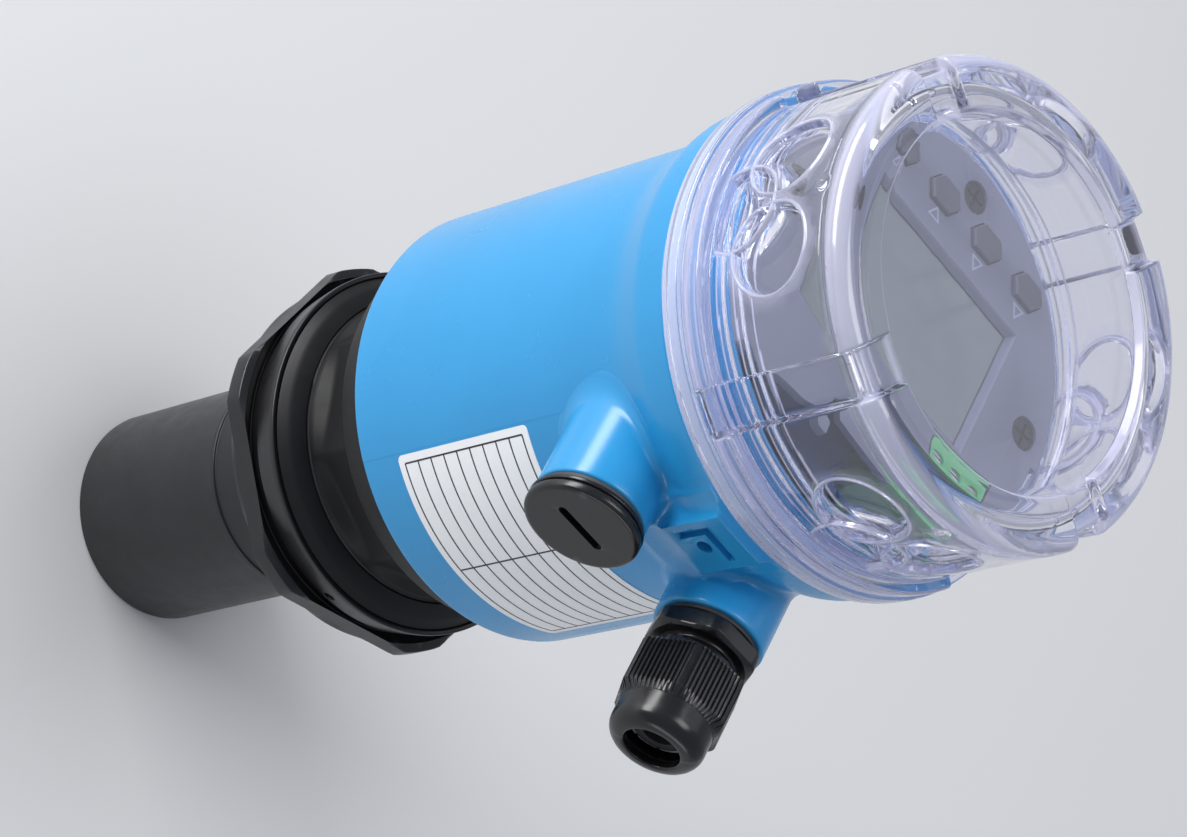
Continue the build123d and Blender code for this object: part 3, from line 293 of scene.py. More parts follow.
# %% Make the clear cover's polycarbonate
def clear_polycarbonate(name, tint, roughness, haze):
    """Clear moulding: waves 8 mm wide, wiping hairlines, a faint haze, and painted white highlights where the
    mesh is marked.
    """
    material, tree, place = fresh_material(name)
    waves = add_node(tree, "ShaderNodeTexNoise", {"Vector": place, "Scale": 1 / (8 * MM), "Detail": 1})
    stretched = add_node(tree, "ShaderNodeMapping",
                         {"Vector": place, "Rotation": (0, 0, 0.6), "Scale": (1, 14, 1)})
    hairs = add_node(tree, "ShaderNodeTexNoise",
                     {"Vector": stretched.outputs["Vector"], "Scale": 1 / (6 * MM), "Detail": 6,
                      "Roughness": 0.7})
    wiped = add_node(tree, "ShaderNodeMapRange",
                     {"Value": hairs.outputs["Fac"], "From Min": 0.4, "From Max": 0.75,
                      "To Min": roughness, "To Max": roughness + 0.05})
    bump = add_node(tree, "ShaderNodeBump", {"Height": waves.outputs["Fac"], "Distance": 0.02 * MM})
    clear = add_node(tree, "ShaderNodeBsdfPrincipled",
                     {"Base Color": linear(tint), "Roughness": wiped.outputs["Result"], "IOR": 1.586,
                      "Transmission Weight": 1.0, "Normal": bump.outputs["Normal"]})
    # An opaque white layer: painted highlights where the mesh is marked, and the faint haze elsewhere.
    painted_white = add_node(tree, "ShaderNodeBsdfPrincipled",
                    {"Base Color": linear("#DEDEF6"), "Roughness": 0.2, "IOR": 1.586,
                     "Normal": bump.outputs["Normal"]})
    mark = add_node(tree, "ShaderNodeAttribute", attribute_name="painted_highlight")
    amount = add_node(tree, "ShaderNodeMapRange",
                      {"Value": mark.outputs["Fac"], "To Min": haze, "To Max": 0.8})
    body = add_node(tree, "ShaderNodeMixShader", {"Fac": amount.outputs["Result"], 1: clear.outputs["BSDF"],
                                                  2: painted_white.outputs["BSDF"]})
    path = add_node(tree, "ShaderNodeLightPath")
    either = add_node(tree, "ShaderNodeMath",
                      {0: path.outputs["Is Shadow Ray"], 1: path.outputs["Is Diffuse Ray"]},
                      operation="MAXIMUM")
    passing = add_node(tree, "ShaderNodeBsdfTransparent", {"Color": linear("#EDEDF6")})
    shader = add_node(tree, "ShaderNodeMixShader", {"Fac": either.outputs["Value"], 1: body.outputs["Shader"],
                                                    2: passing.outputs["BSDF"]})
    add_node(tree, "ShaderNodeOutputMaterial", {"Surface": shader.outputs["Shader"]})
    print("made", name)
    return material


polycarbonate = clear_polycarbonate("clear_polycarbonate_moulded", "#F6F6FC", 0.01, 0.02)

# %% [markdown]
# Materials: display, boards and screws
#
# The display is a sheet of glass over grey liquid crystal, so it is smooth and its colour hardly changes.
# The circuit boards are woven glass in blue varnish, and the weave of about 0.5 mm shows through as a soft
# check. The terminal's screws are zinc plated steel. The panel's screws are drawn nearly black as painted
# shade for the recesses they sit in. Both are turned and lightly scratched.

# %% Make the display glass, the board laminate and the plated steel
def display_glass_over_crystal(name):
    """Smooth glass over a grey layer, with the faint rows of the display's cells."""
    material, tree, place = fresh_material(name)
    cells = add_node(tree, "ShaderNodeTexWave", {"Vector": place, "Scale": 0.05 / MM},
                     wave_type="BANDS", bands_direction="Y")
    cloud = add_node(tree, "ShaderNodeTexNoise", {"Vector": place, "Scale": 1 / (18 * MM), "Detail": 2})
    both = add_node(tree, "ShaderNodeMath", {0: cells.outputs["Fac"], 1: 0.12, 2: cloud.outputs["Fac"]},
                    operation="MULTIPLY_ADD")
    colour = add_node(tree, "ShaderNodeMix", {"Factor": both.outputs["Value"], 6: linear("#76827F"),
                                              7: linear("#87928F")}, data_type="RGBA")
    shader = add_node(tree, "ShaderNodeBsdfPrincipled", {"Base Color": colour.outputs[2], "Roughness": 0.12,
                                                         "IOR": 1.52, "Coat Weight": 0.3})
    add_node(tree, "ShaderNodeOutputMaterial", {"Surface": shader.outputs["BSDF"]})
    return material


def board_laminate(name, dark, light):
    """Varnish over woven glass, 0.5 mm a thread."""
    material, tree, place = fresh_material(name)
    weave = add_node(tree, "ShaderNodeTexChecker", {"Vector": place, "Scale": 1 / (0.5 * MM),
                                                    "Color1": linear(dark), "Color2": linear(light)})
    shader = add_node(tree, "ShaderNodeBsdfPrincipled",
                      {"Base Color": weave.outputs["Color"], "Roughness": 0.32, "Coat Weight": 0.4})
    add_node(tree, "ShaderNodeOutputMaterial", {"Surface": shader.outputs["BSDF"]})
    return material


def plated_steel(name, colour, metallic, depth_mm):
    """A plating over turned steel, with scratches 0.3 mm apart."""
    material, tree, place = fresh_material(name)
    scratches = add_node(tree, "ShaderNodeTexNoise", {"Vector": place, "Scale": 1 / (0.3 * MM), "Detail": 4})
    worn = add_node(tree, "ShaderNodeMapRange",
                    {"Value": scratches.outputs["Fac"], "To Min": 0.22, "To Max": 0.45})
    bump = add_node(tree, "ShaderNodeBump", {"Height": scratches.outputs["Fac"], "Distance": depth_mm * MM})
    shader = add_node(tree, "ShaderNodeBsdfPrincipled",
                      {"Base Color": linear(colour), "Metallic": metallic,
                       "Roughness": worn.outputs["Result"], "Normal": bump.outputs["Normal"]})
    add_node(tree, "ShaderNodeOutputMaterial", {"Surface": shader.outputs["BSDF"]})
    return material


crystal_glass = display_glass_over_crystal("display_glass_over_grey_crystal")
blue_laminate = board_laminate("fr4_laminate_blue_varnish", "#1B68B8", "#2072C4")
zinc_steel = plated_steel("zinc_plated_steel_turned", "#C6C8CC", 1.0, 0.01)
# The panel's screws are nearly black: painted shade for the recesses they sit in.
recess_shade_steel = plated_steel("screw_steel_painted_shade", "#121317", 0.2, 0.002)
print("made the display, the boards and both kinds of screw")

# %% [markdown]
# Dress what is right already
#
# Boards, keys, seals and the panel have their final form in the solids. They keep it and only get a
# material. What shows from close by is modelled again further on.

# %% Dress the solids that are right as they are
carried_over = {
    "matching_layer": matching_epoxy, "piezo_disc": disc_ceramic, "damping_fill": potting_epoxy,
    "body_seal": seal_rubber, "plug_seal": seal_rubber, "cover_seal": pale_silicone,
    "gland_seal": seal_rubber, "gland_claw": claw_nylon, "display_panel": panel_abs,
    "panel_screws": recess_shade_steel, "lcd_module": crystal_glass, "display_board": blue_laminate,
    "terminal_board": blue_laminate, "main_board": blue_laminate, "tact_switches": switch_plastic,
    "terminal_header": terminal_pbt, "terminal_plug": terminal_pbt, "terminal_screws": zinc_steel}
carried_over.update({f"key_{number}": key_rubber for number in range(1, 5)})
for node_name, material in carried_over.items():
    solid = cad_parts[node_name]
    solid.data.materials.clear()
    solid.data.materials.append(material)
print("dressed", len(carried_over), "solids")

# %% [markdown]
# Shapes: outlines turned round an axis
#
# Most of the sensor is round, and its pieces come from lathes and from moulds that were turned on lathes.
# So each is built from one outline that is swept round the axis. Plastic has no sharp corners, so every
# corner of an outline can carry a radius. A shape function may change the radius by azimuth, and that makes
# the flats of a spanner hexagon, the threads and the ribs. Azimuths are counted from the side with the
# cable entries.

# %% Outline and sweep helpers
def rounded(outline, steps=4):
    """Points of an outline of (a, b) or (a, b, radius); a corner that has a radius becomes an arc."""
    result = [Vector(outline[0][:2])]
    for before, corner, after in zip(outline, outline[1:], outline[2:]):
        here = Vector(corner[:2])
        if len(corner) == 2:
            result.append(here)
            continue
        back = (Vector(before[:2]) - here).normalized()
        ahead = (Vector(after[:2]) - here).normalized()
        half = back.angle(ahead) / 2
        centre = here + (back + ahead).normalized() * corner[2] / sin(half)
        start = here + back * corner[2] / tan(half) - centre
        end = here + ahead * corner[2] / tan(half) - centre
        sweep = atan2(start.x * end.y - start.y * end.x, start.dot(end))
        for step in range(steps + 1):
            turn = sweep * step / steps
            result.append(centre + Vector((start.x * cos(turn) - start.y * sin(turn),
                                           start.x * sin(turn) + start.y * cos(turn))))
    return result + [Vector(outline[-1][:2])]


def levels(low, high, count):
    """Evenly spaced values from low to high."""
    return [low + (high - low) * step / count for step in range(count + 1)]


def clamp(value):
    """A value, held between 0 and 1."""
    return min(max(value, 0), 1)


def straight(radius, heights):
    """Points of an outline that lie above one another."""
    return [Vector((radius, height)) for height in heights]


def around(radius, azimuth, height):
    """The point at a radius, an azimuth in degrees and a height."""
    return (radius * sin(radians(azimuth)), -radius * cos(radians(azimuth)), height)


def swept(outline, azimuths, shape=None, closed=True):
    """Points and faces of a (radius, height) outline at each azimuth; the shape function moves them."""
    points = []
    for radius, height in outline:
        for azimuth in azimuths:
            r, z = shape(radius, height, azimuth) if shape else (radius, height)
            points.append(around(r, azimuth, z))
    count = len(azimuths)
    faces = []
    for row in range(len(outline) if closed else len(outline) - 1):
        above = (row + 1) % len(outline)
        for column in range(count):
            right = (column + 1) % count
            faces.append((row * count + column, row * count + right,
                          above * count + right, above * count + column))
    return points, faces


def full_circle(columns, extra=()):
    """Azimuths right round, with any extra ones that a corner needs."""
    even = [360 * column / columns for column in range(columns)]
    return sorted(set(even + [round(azimuth % 360, 4) for azimuth in extra]))


print("a rounded corner has", len(rounded([(0, 0), (1, 0, 0.3), (1, 1)])) - 2, "points")

# %% [markdown]
# From shells to one piece
#
# A piece is made of closed shells in millimetres. It rides on a body of the imported model, it may stand for
# some of the solids, and its material slots hold one material for each kind of finish. Each edge of a closed
# shell has two faces, so the count of edges that don't has to stay at 0.

# %% Make one piece
def piece(name, shells, materials, body, stands_for=(), crease=38, place=None, marks=None):
    """One object from closed shells in mm; a shell may bring a function that picks a material by place."""
    mesh = bpy.data.meshes.new(name)
    work = bmesh.new()
    layer = work.verts.layers.float.new(marks[0]) if marks else None
    for points, faces, *number in shells:
        made = [work.verts.new((place(Vector(p)) if place else Vector(p)) * MM) for p in points]
        if marks:
            for vertex, point in zip(made, points):
                vertex[layer] = marks[1](point)
        for face in faces:
            finish = number[0](points[face[0]]) if number else 0
            work.faces.new([made[index] for index in face]).material_index = finish
        bmesh.ops.remove_doubles(work, verts=made, dist=0.0015 * MM)
    bmesh.ops.dissolve_degenerate(work, edges=work.edges, dist=0.0005 * MM)
    bmesh.ops.recalc_face_normals(work, faces=work.faces)
    work.to_mesh(mesh)
    work.free()
    for material in materials:
        mesh.materials.append(material)
    mesh.shade_smooth()
    mesh.set_sharp_from_angle(angle=radians(crease))
    made = bpy.data.objects.new(name, mesh)
    bpy.context.scene.collection.objects.link(made)
    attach(made, body)
    if stands_for:
        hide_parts(*stands_for)
    triangles = sum(len(face.vertices) - 2 for face in mesh.polygons)
    loose = sum(1 for count in edge_uses(mesh).values() if count != 2)
    print(name, "triangles:", triangles, "edges without two faces:", loose)
    return made


def edge_uses(mesh):
    """How many faces use each edge: two everywhere on a closed shell."""
    uses = {}
    for face in mesh.polygons:
        for key in face.edge_keys:
            uses[key] = uses.get(key, 0) + 1
    return uses


# %% [markdown]
# Flats and threads
#
# A spanner flat and a thread are both a change of the radius with the azimuth. A thread fades in and out
# over half a turn, as it does where a mould or a die ends.

# %% Polygon and thread helpers
def corner_azimuths(sides, first, flat, rounding):
    """Azimuths round each corner of a polygon, so that its rounded edges get points of their own."""
    half = pi / sides
    tangent = degrees(atan2(rounding * sin(half), (flat - rounding) / cos(half) + rounding * cos(half)))
    return [first + 360 / sides * side + tangent * share
            for side in range(sides) for share in (-1, -0.5, 0, 0.5, 1)]


def polygon_radius(azimuth, sides, first, flat, rounding):
    """Distance from the axis to a polygon with rounded corners; flat is the distance to its sides."""
    half = pi / sides
    off = radians((azimuth - first + 180 / sides) % (360 / sides) - 180 / sides)
    centre = (flat - rounding) / cos(half)
    if abs(off) >= atan2(rounding * sin(half), centre + rounding * cos(half)):
        return flat / cos(half - abs(off))
    return centre * cos(off) + sqrt(rounding ** 2 - (centre * sin(off)) ** 2)


def thread_depth(azimuth, height, low, high, pitch, depth, crest):
    """How deep a right-hand thread cuts at a place, running out over half a turn at both ends."""
    phase = abs(((height - low) / pitch - azimuth / 360) % 1 - 0.5) * 2
    cut = clamp((phase - crest) / (1 - 2 * crest))
    run_in = clamp((height - low) / (pitch / 2))
    run_out = clamp((high - height) / (pitch / 2))
    return depth * cut * run_in * run_out


print("a hexagon 10 mm to its flats has corners at", round(polygon_radius(0, 6, 0, 10, 0.5), 2), "mm")

# %% [markdown]
# Black body: tube, thread, spanner neck and shoulder
#
# One nylon moulding carries the sound transducer in a tube with a narrow bead, an M60 thread with a pitch
# of 2 mm, an eight-sided neck for a spanner and a conical shoulder that plugs into the housing. The thread
# is real geometry here, because it catches light along each turn. Bump would be lighter, but it would leave
# the outline of the thread smooth.

# %% Build the black body
THREAD_LOW, THREAD_HIGH = 62.0, 84.2
NECK_TOP, SHOULDER_TOP, SPIGOT_TOP = 101.2, 110.7, 122.7
NECK_FLAT, NECK_ROUNDING, NECK_FOOT = 27.5, 1.6, 29.75
TUBE_RADIUS, BEAD_RADIUS, BEAD_LOW, BEAD_HIGH = 21.5, 22.0, 43.3, 45.1
THREAD_RADIUS, THREAD_PITCH, THREAD_CUT, THREAD_CREST = 30.0, 2.0, 1.15, 0.14
SPIGOT_RADIUS, RING_SEAT, RING_LOW, RING_HIGH = 37.44, 35.55, 115.65, 117.75
POT_RADIUS, TUBE_BORE, FACE_SEAT, FACE_DEPTH = 23.5, 18.8, 19.9, 4.0


def body_shape(radius, height, azimuth):
    """Cuts the thread, and presses the round neck into its eight flats."""
    if THREAD_LOW < height < THREAD_HIGH and radius > 29:
        return radius - thread_depth(azimuth, height, THREAD_LOW + 0.8, THREAD_HIGH - 0.4, THREAD_PITCH,
                                     THREAD_CUT, THREAD_CREST), height
    if 27 < radius < 29.8 and THREAD_HIGH < height < SHOULDER_TOP - 9:
        round_share = (radius - NECK_FLAT) / (NECK_FOOT - NECK_FLAT)
        flat = polygon_radius(azimuth, 8, 0, NECK_FLAT, NECK_ROUNDING)
        return flat + (NECK_FOOT - flat) * round_share, height
    return radius, height


body_outline = rounded([(21.0, 0), (TUBE_RADIUS, 0, 0.45), (TUBE_RADIUS, BEAD_LOW, 0.2),
                        (BEAD_RADIUS, BEAD_LOW + 0.2, 0.3), (BEAD_RADIUS, BEAD_HIGH - 0.2, 0.3),
                        (TUBE_RADIUS, BEAD_HIGH, 0.2), (TUBE_RADIUS, THREAD_LOW, 0.8),
                        (28.9, THREAD_LOW, 0.3), (THREAD_RADIUS, 63.1)])
body_outline += straight(THREAD_RADIUS, levels(63.2, THREAD_HIGH - 0.5, 84))
body_outline += [Vector((THREAD_RADIUS, THREAD_HIGH - 0.45)), Vector((NECK_FOOT, THREAD_HIGH))]
body_outline += rounded([(NECK_FOOT, THREAD_HIGH + 0.01), (29.3, THREAD_HIGH + 0.9, 1.5),
                         (NECK_FLAT, 87.4, 2.0), (NECK_FLAT, 92)], 5)
body_outline += straight(NECK_FLAT, (NECK_TOP - 0.3, NECK_TOP))
body_outline += rounded([(30.5, NECK_TOP), (36.0, NECK_TOP, 0.7), (38.8, SHOULDER_TOP - 0.05, 0.35),
                         (SPIGOT_RADIUS, SHOULDER_TOP - 0.05), (SPIGOT_RADIUS, RING_LOW),
                         (RING_SEAT, RING_LOW), (RING_SEAT, RING_HIGH), (SPIGOT_RADIUS, RING_HIGH),
                         (SPIGOT_RADIUS, SPIGOT_TOP, 0.5), (POT_RADIUS, SPIGOT_TOP, 0.3),
                         (POT_RADIUS, 71.0, 1), (TUBE_BORE, 65.0, 1), (TUBE_BORE, FACE_DEPTH),
                         (FACE_SEAT, FACE_DEPTH), (FACE_SEAT, 0), (21.0, 0)])
neck_corners = corner_azimuths(8, 0, NECK_FLAT, NECK_ROUNDING)
body_shell = swept(body_outline, full_circle(144, neck_corners), body_shape)
# Above the thread the body takes the darker copy of the nylon: painted shade on the neck and shoulder.
piece("black_body", [(*body_shell, lambda point: int(point[2] > THREAD_HIGH))], [black_nylon, shaded_neck_nylon],
      "sensor", ("transducer_body",))

# %% [markdown]
# Lock nut and gasket
#
# The nut is a plain hexagon whose corners are turned off, under a round collar with a thin rim. A dished
# rubber gasket lies in the collar and rises towards the neck. The collar has a small round mark where the
# plastic entered the mould. A boolean could cut the flats too, but a sweep keeps the rows of points even,
# so the shading stays clean.

# %% Build the lock nut and its gasket
NUT_LOW, NUT_HEX_TOP, NUT_TOP = 67.7, 73.6, 80.8
NUT_FLAT, NUT_ROUNDING, NUT_FIRST = 35.1, 1.2, -13
NUT_CORNER, NUT_BORE = 38.2, 30.1
COLLAR_FOOT, COLLAR_FROM, COLLAR_LEAN = 34.9, 74.9, 0.19     # the round collar leans out a little
GATE_AZIMUTH, GATE_HEIGHT, GATE_RADIUS, GATE_DEPTH = 2.6, 76.3, 1.15, 1.1


def nut_shape(radius, height, azimuth):
    """Cuts the hexagon's flats and sinks the gate's round hole."""
    if radius > 35.95:
        return min(radius, polygon_radius(azimuth, 6, NUT_FIRST, NUT_FLAT, NUT_ROUNDING)), height
    from_gate = hypot((azimuth - GATE_AZIMUTH) * radians(1) * radius, height - GATE_HEIGHT)
    if radius > COLLAR_FOOT and from_gate < GATE_RADIUS:
        return radius - GATE_DEPTH * min((GATE_RADIUS - from_gate) / 0.35, 1), height
    return radius, height


nut_outline = rounded([(33, NUT_LOW), (35.3, NUT_LOW), (NUT_CORNER, NUT_LOW + 1.3, 0.4),
                       (NUT_CORNER, NUT_HEX_TOP - 1.0, 0.5), (36.5, NUT_HEX_TOP - 0.3, 0.3),
                       (33.9, NUT_HEX_TOP - 2.0, 0.3), (33.9, NUT_HEX_TOP + 0.6, 0.3),
                       (COLLAR_FOOT, COLLAR_FROM)])
nut_outline += [Vector((COLLAR_FOOT + COLLAR_LEAN * (z - COLLAR_FROM), z)) for z in levels(75.0, 77.6, 14)]
nut_outline += rounded([(35.5, 78.1), (35.8, NUT_TOP - 1.2, 0.3), (35.9, NUT_TOP, 0.4), (34.8, NUT_TOP, 0.3),
                        (34.75, NUT_TOP - 3.0, 0.2), (NUT_BORE, NUT_TOP - 3.0, 0.4), (NUT_BORE, NUT_LOW, 0.8),
                        (33, NUT_LOW)])
nut_extra = corner_azimuths(6, NUT_FIRST, NUT_FLAT, NUT_ROUNDING)
nut_extra += levels(GATE_AZIMUTH - 2.4, GATE_AZIMUTH + 2.4, 16)
nut_shell = swept(nut_outline, full_circle(180, nut_extra), nut_shape)
piece("spanner_lock_nut", [nut_shell], [nut_nylon], "nut_body", ("lock_nut",))

GASKET_LOW, GASKET_RADIUS = NUT_TOP - 2.94, 34.72
gasket_outline = rounded([(32, GASKET_LOW), (GASKET_RADIUS, GASKET_LOW, 0.3), (GASKET_RADIUS, 80.7, 0.2),
                          (33.0, 82.3, 5), (NUT_BORE, 83.97, 0.12), (NUT_BORE, GASKET_LOW, 0.2),
                          (32, GASKET_LOW)], 6)
piece("dished_gasket", [swept(gasket_outline, full_circle(144))], [gasket_rubber], "nut_carrier",
      ("nut_gasket",))

# %% [markdown]
# Blue housing
#
# The housing is a moulded shell with a cone, a flange and a threaded collar under the cover. Two mould
# lines run down its front, and the field between them is a little lower. Two bosses for the cables stand
# out of it, and a web between them carries a drilled lug. The shell is swept. The web is a height over the
# front view, blended into the shell with a soft maximum, and the bosses end in a fillet that follows that
# same height, so they flow together.

# %% Sweep the shell
SHELL_LOW, CONE_LOW, FLANGE_LOW, FLANGE_TOP, COLLAR_TOP = 110.7, 180.2, 188.2, 195.2, 207.2
SHELL_RADIUS, FLANGE_RADIUS, COLLAR_RADIUS = 41.2, 44.4, 38.2
FIELD_ANGLE, FIELD_STEP = 38.15, 0.05
COARSE_THREAD = (4.0, 0.8, 0.2)     # pitch, depth and crest, on the collar and in the cover
COLLAR_THREAD = (197.4, 206.8)
FIRST_WALL_ROW = 8                  # the points of the rounded lower edge come before the straight wall

wall_outline = rounded([(39.5, SHELL_LOW), (SHELL_RADIUS, SHELL_LOW, 0.9), (SHELL_RADIUS, CONE_LOW, 16),
                        (FLANGE_RADIUS, FLANGE_LOW, 7), (FLANGE_RADIUS, FLANGE_TOP, 0.9),
                        (40.5, FLANGE_TOP)], 6)


def field_share(azimuth, height):
    """1 in the lowered field between the mould lines, 0 outside, with a narrow slope between."""
    beside = abs((azimuth + 180) % 360 - 180)
    across = clamp((FIELD_ANGLE + 0.15 - beside) / 0.3)
    return across * clamp((CONE_LOW - 4 - height) / 4) * clamp((height - SHELL_LOW) / 0.5)


def shell_shape(radius, height, azimuth):
    """Lowers the field and cuts the collar's thread."""
    if radius > 40.9 and height < CONE_LOW:
        return radius - FIELD_STEP * field_share(azimuth, height), height
    if abs(radius - COLLAR_RADIUS) < 0.001:
        return radius - thread_depth(azimuth, height, *COLLAR_THREAD, *COARSE_THREAD), height
    return radius, height


shell_outline = list(wall_outline)
shell_outline[FIRST_WALL_ROW:FIRST_WALL_ROW] = straight(SHELL_RADIUS, levels(112.5, 174, 12))
shell_outline += rounded([(38.9, FLANGE_TOP), (COLLAR_RADIUS, FLANGE_TOP, 0.3), (COLLAR_RADIUS, 196.6)])
shell_outline += straight(COLLAR_RADIUS, levels(196.8, 206.5, 34))
shell_outline += rounded([(38.1, 206.7), (37.8, COLLAR_TOP), (36.7, COLLAR_TOP), (36.2, 206.8),
                          (36.2, FLANGE_TOP, 1), (37.5, 193.2, 1), (37.5, SHELL_LOW, 0.5), (39.5, SHELL_LOW)])
line_azimuths = [side * (FIELD_ANGLE + off) for side in (-1, 1) for off in (-0.3, -0.15, 0, 0.15, 0.3)]
assert all(a.y <= b.y for a, b in zip(shell_outline[:24], shell_outline[1:24])), "the wall must rise steadily"
shell = swept(shell_outline, full_circle(180, line_azimuths), shell_shape)
print("shell rows:", len(shell_outline))

# %% [markdown]
# The front of the housing
#
# Shell and web meet in a soft hollow on the real moulding. Here each is a distance to the front at a place
# in the front view, and the larger of the two counts. Where they are nearly equal, a blend lifts the corner
# by up to 0.75 mm.

# %% Measure how far the front reaches
LUG_REACH, LUG_Z, WEB_FOOT, WEB_TOP = 47.4, 185.0, 169.0, 193.8
FOOT_REACH, FOOT_CURVE = 41.0, 14.45      # the hollow curve from the wall up to the lug
# The curves beside the lug run in under its face and hold it at about 45.5 mm. In the solid it is at 47.4 mm.
SIDE_REACH, SIDE_CURVE, SIDE_EDGE, LUG_SIDE = 41.8, 4.6, 10.5, 6.0
BLEND = 3.0


def wall_radius(height):
    """Radius of the shell's outside at a height, taken from its own outline, inside the lowered field."""
    for below, above in zip(wall_outline, wall_outline[1:]):
        if below.y <= height <= above.y and above.y > below.y:
            share = (height - below.y) / (above.y - below.y)
            radius = below.x + (above.x - below.x) * share
            return radius - FIELD_STEP * field_share(0, height)
    return FLANGE_RADIUS


def front_reach(x, height):
    """How far the housing reaches to the front at a place in the front view: shell and web, blended."""
    body = sqrt(max(wall_radius(height) ** 2 - x * x, 0))
    rise = min(max(height - WEB_FOOT, -1), 12)
    foot_curve = FOOT_REACH + FOOT_CURVE - sqrt(FOOT_CURVE ** 2 - max(rise, 0) ** 2)
    foot_curve -= max(WEB_FOOT - height, 0)
    beside = abs(x)
    if beside > SIDE_EDGE:
        side_curve = SIDE_REACH - 3 * (beside - SIDE_EDGE)
    else:
        side_curve = SIDE_REACH + SIDE_CURVE
        side_curve -= sqrt(SIDE_CURVE ** 2 - (SIDE_EDGE - max(beside, LUG_SIDE)) ** 2)
    top_slope = LUG_REACH - max(height - (WEB_TOP - 0.6), 0) * 6
    web = min(foot_curve, side_curve, top_slope)
    overlap = max(BLEND - abs(body - web), 0) / BLEND
    return max(body, web) + overlap * overlap * BLEND / 4


print("wall:", round(front_reach(0, 165), 2), "mm, lug:", round(front_reach(0, LUG_Z), 2), "mm to the front")

# %% [markdown]
# Surfaces drawn in the flat
#
# The web, the pads of the cover, the plug's face and the label are outlines filled with triangles. Lines
# where a surface bends become edges of the triangles, so that a slot or a ring stays crisp.

# %% Fill an outline with triangles
def patch(rim, lines, spots):
    """Points and triangles that fill a rim in the flat, with the given lines as edges and spots as points."""
    flat, edges = [], []
    for line, joined in [(rim, True)] + lines:
        first = len(flat)
        flat += [Vector(point) for point in line]
        edges += [(first + step, first + step + 1) for step in range(len(line) - 1)]
        if joined:
            edges.append((len(flat) - 1, first))
    flat += [Vector(point) for point in spots]
    result = delaunay_2d_cdt(flat, edges, [], 0, 1e-5)
    return result[0], result[2]


def thick_patch(rim, lines, spots, front, back):
    """A closed shell over a filled rim: two functions place its front and its back."""
    flat, triangles = patch(rim, lines, spots)
    count = len(flat)
    uses = {pair for triangle in triangles for pair in zip(triangle, triangle[1:] + triangle[:1])}
    faces = [tuple(triangle) for triangle in triangles]
    faces += [tuple(index + count for index in reversed(triangle)) for triangle in triangles]
    faces += [(end, start, start + count, end + count) for start, end in uses if (end, start) not in uses]
    return [front(x, y) for x, y in flat] + [back(x, y) for x, y in flat], faces


def ring(x, y, radius, count=32):
    """Points of a circle in the flat."""
    return [(x + radius * cos(2 * pi * step / count), y + radius * sin(2 * pi * step / count))
            for step in range(count)]


print("triangles in a circle of 32 points:", len(patch(ring(0, 0, 1), [], [])[1]))

# %% [markdown]
# The web with its lug
#
# The lug stands between the two bosses. A hooked slot is sunk into its face, and a hole is drilled in the
# middle of it. Both are depths that are taken from the front height, so they need no boolean and keep their
# crisp edges.

# %% Shape the web and its lug
HOOK_DEPTH, LUG_HOLE, LUG_HOLE_DEPTH = 1.5, 1.5, 7.0
HOOK_SIDE, HOOK_LOW, HOOK_TOP, HOOK_WIDTH = 4.3, 181.0, 189.0, 1.7
hook_bars = [(-HOOK_SIDE, HOOK_WIDTH - HOOK_SIDE, HOOK_LOW, HOOK_TOP),
             (-HOOK_SIDE, HOOK_SIDE, HOOK_TOP - HOOK_WIDTH, HOOK_TOP)]


def lug_cut(x, height):
    """Depth of the hooked slot and the drilled hole at a place on the lug."""
    inside = max(min(x - low_x, high_x - x, height - low_z, high_z - height)
                 for low_x, high_x, low_z, high_z in hook_bars)
    slot_cut = HOOK_DEPTH * clamp((inside + 0.02) / 0.15)
    hole_cut = LUG_HOLE_DEPTH * clamp((LUG_HOLE - hypot(x, height - LUG_Z)) / 0.12)
    return max(slot_cut, hole_cut)


def hook_line(inset):
    """Outline of the hooked slot, drawn in by an inset."""
    inner_side, inner_top = HOOK_WIDTH - HOOK_SIDE - inset, HOOK_TOP - HOOK_WIDTH + inset
    return [(inset - HOOK_SIDE, HOOK_LOW + inset), (inner_side, HOOK_LOW + inset), (inner_side, inner_top),
            (HOOK_SIDE - inset, inner_top), (HOOK_SIDE - inset, HOOK_TOP - inset),
            (inset - HOOK_SIDE, HOOK_TOP - inset)]


web_rim = [(x, 163.0) for x in levels(-13, 12, 25)] + [(13, z) for z in levels(163, 194, 31)]
web_rim += [(x, 195.0) for x in levels(13, -12, 25)] + [(-13, z) for z in levels(195, 164, 31)]
web_lines = [(hook_line(0), True), (hook_line(0.15), True)]
web_lines += [(ring(0, LUG_Z, LUG_HOLE - inset), True) for inset in (0, 0.12)]
web_lines += [([(x, z) for x in levels(-9, 9, 18)], False) for z in (WEB_TOP - 0.6, WEB_TOP)]
web_lines += [([(x, z) for z in levels(178, 193, 30)], False) for x in (-6, 6)]
web_spots = [(x + 0.41, z + 0.37) for x in levels(-12.8, 12.2, 50) for z in levels(163.3, 194.3, 60)
             if max(abs(x) - 4.8, abs(z - LUG_Z) - 4.5) > 0]
WEB_BACK = 38.6
web = thick_patch(web_rim, web_lines, web_spots,
                  lambda x, z: (x, -(front_reach(x, z) + 0.02 - lug_cut(x, z)), z),
                  lambda x, z: (x, -WEB_BACK, z))
print("web points:", len(web[0]), "lug reach:", round(-min(point[1] for point in web[0]), 2), "mm")

# %% [markdown]
# The two cable bosses
#
# A boss is a tube with a rounded mouth. Its foot runs out into the wall with a fillet of 2.6 mm. The wall's
# distance is asked for under each point of the fillet, so it follows shell, cone and web alike.

# %% Build both bosses and join the housing
BOSS_X, BOSS_Z, BOSS_RADIUS, BOSS_END, ENTRY_RADIUS = 16.75, 173.6, 10.3, 49.6, 8.0
FOOT_FILLET = 2.6


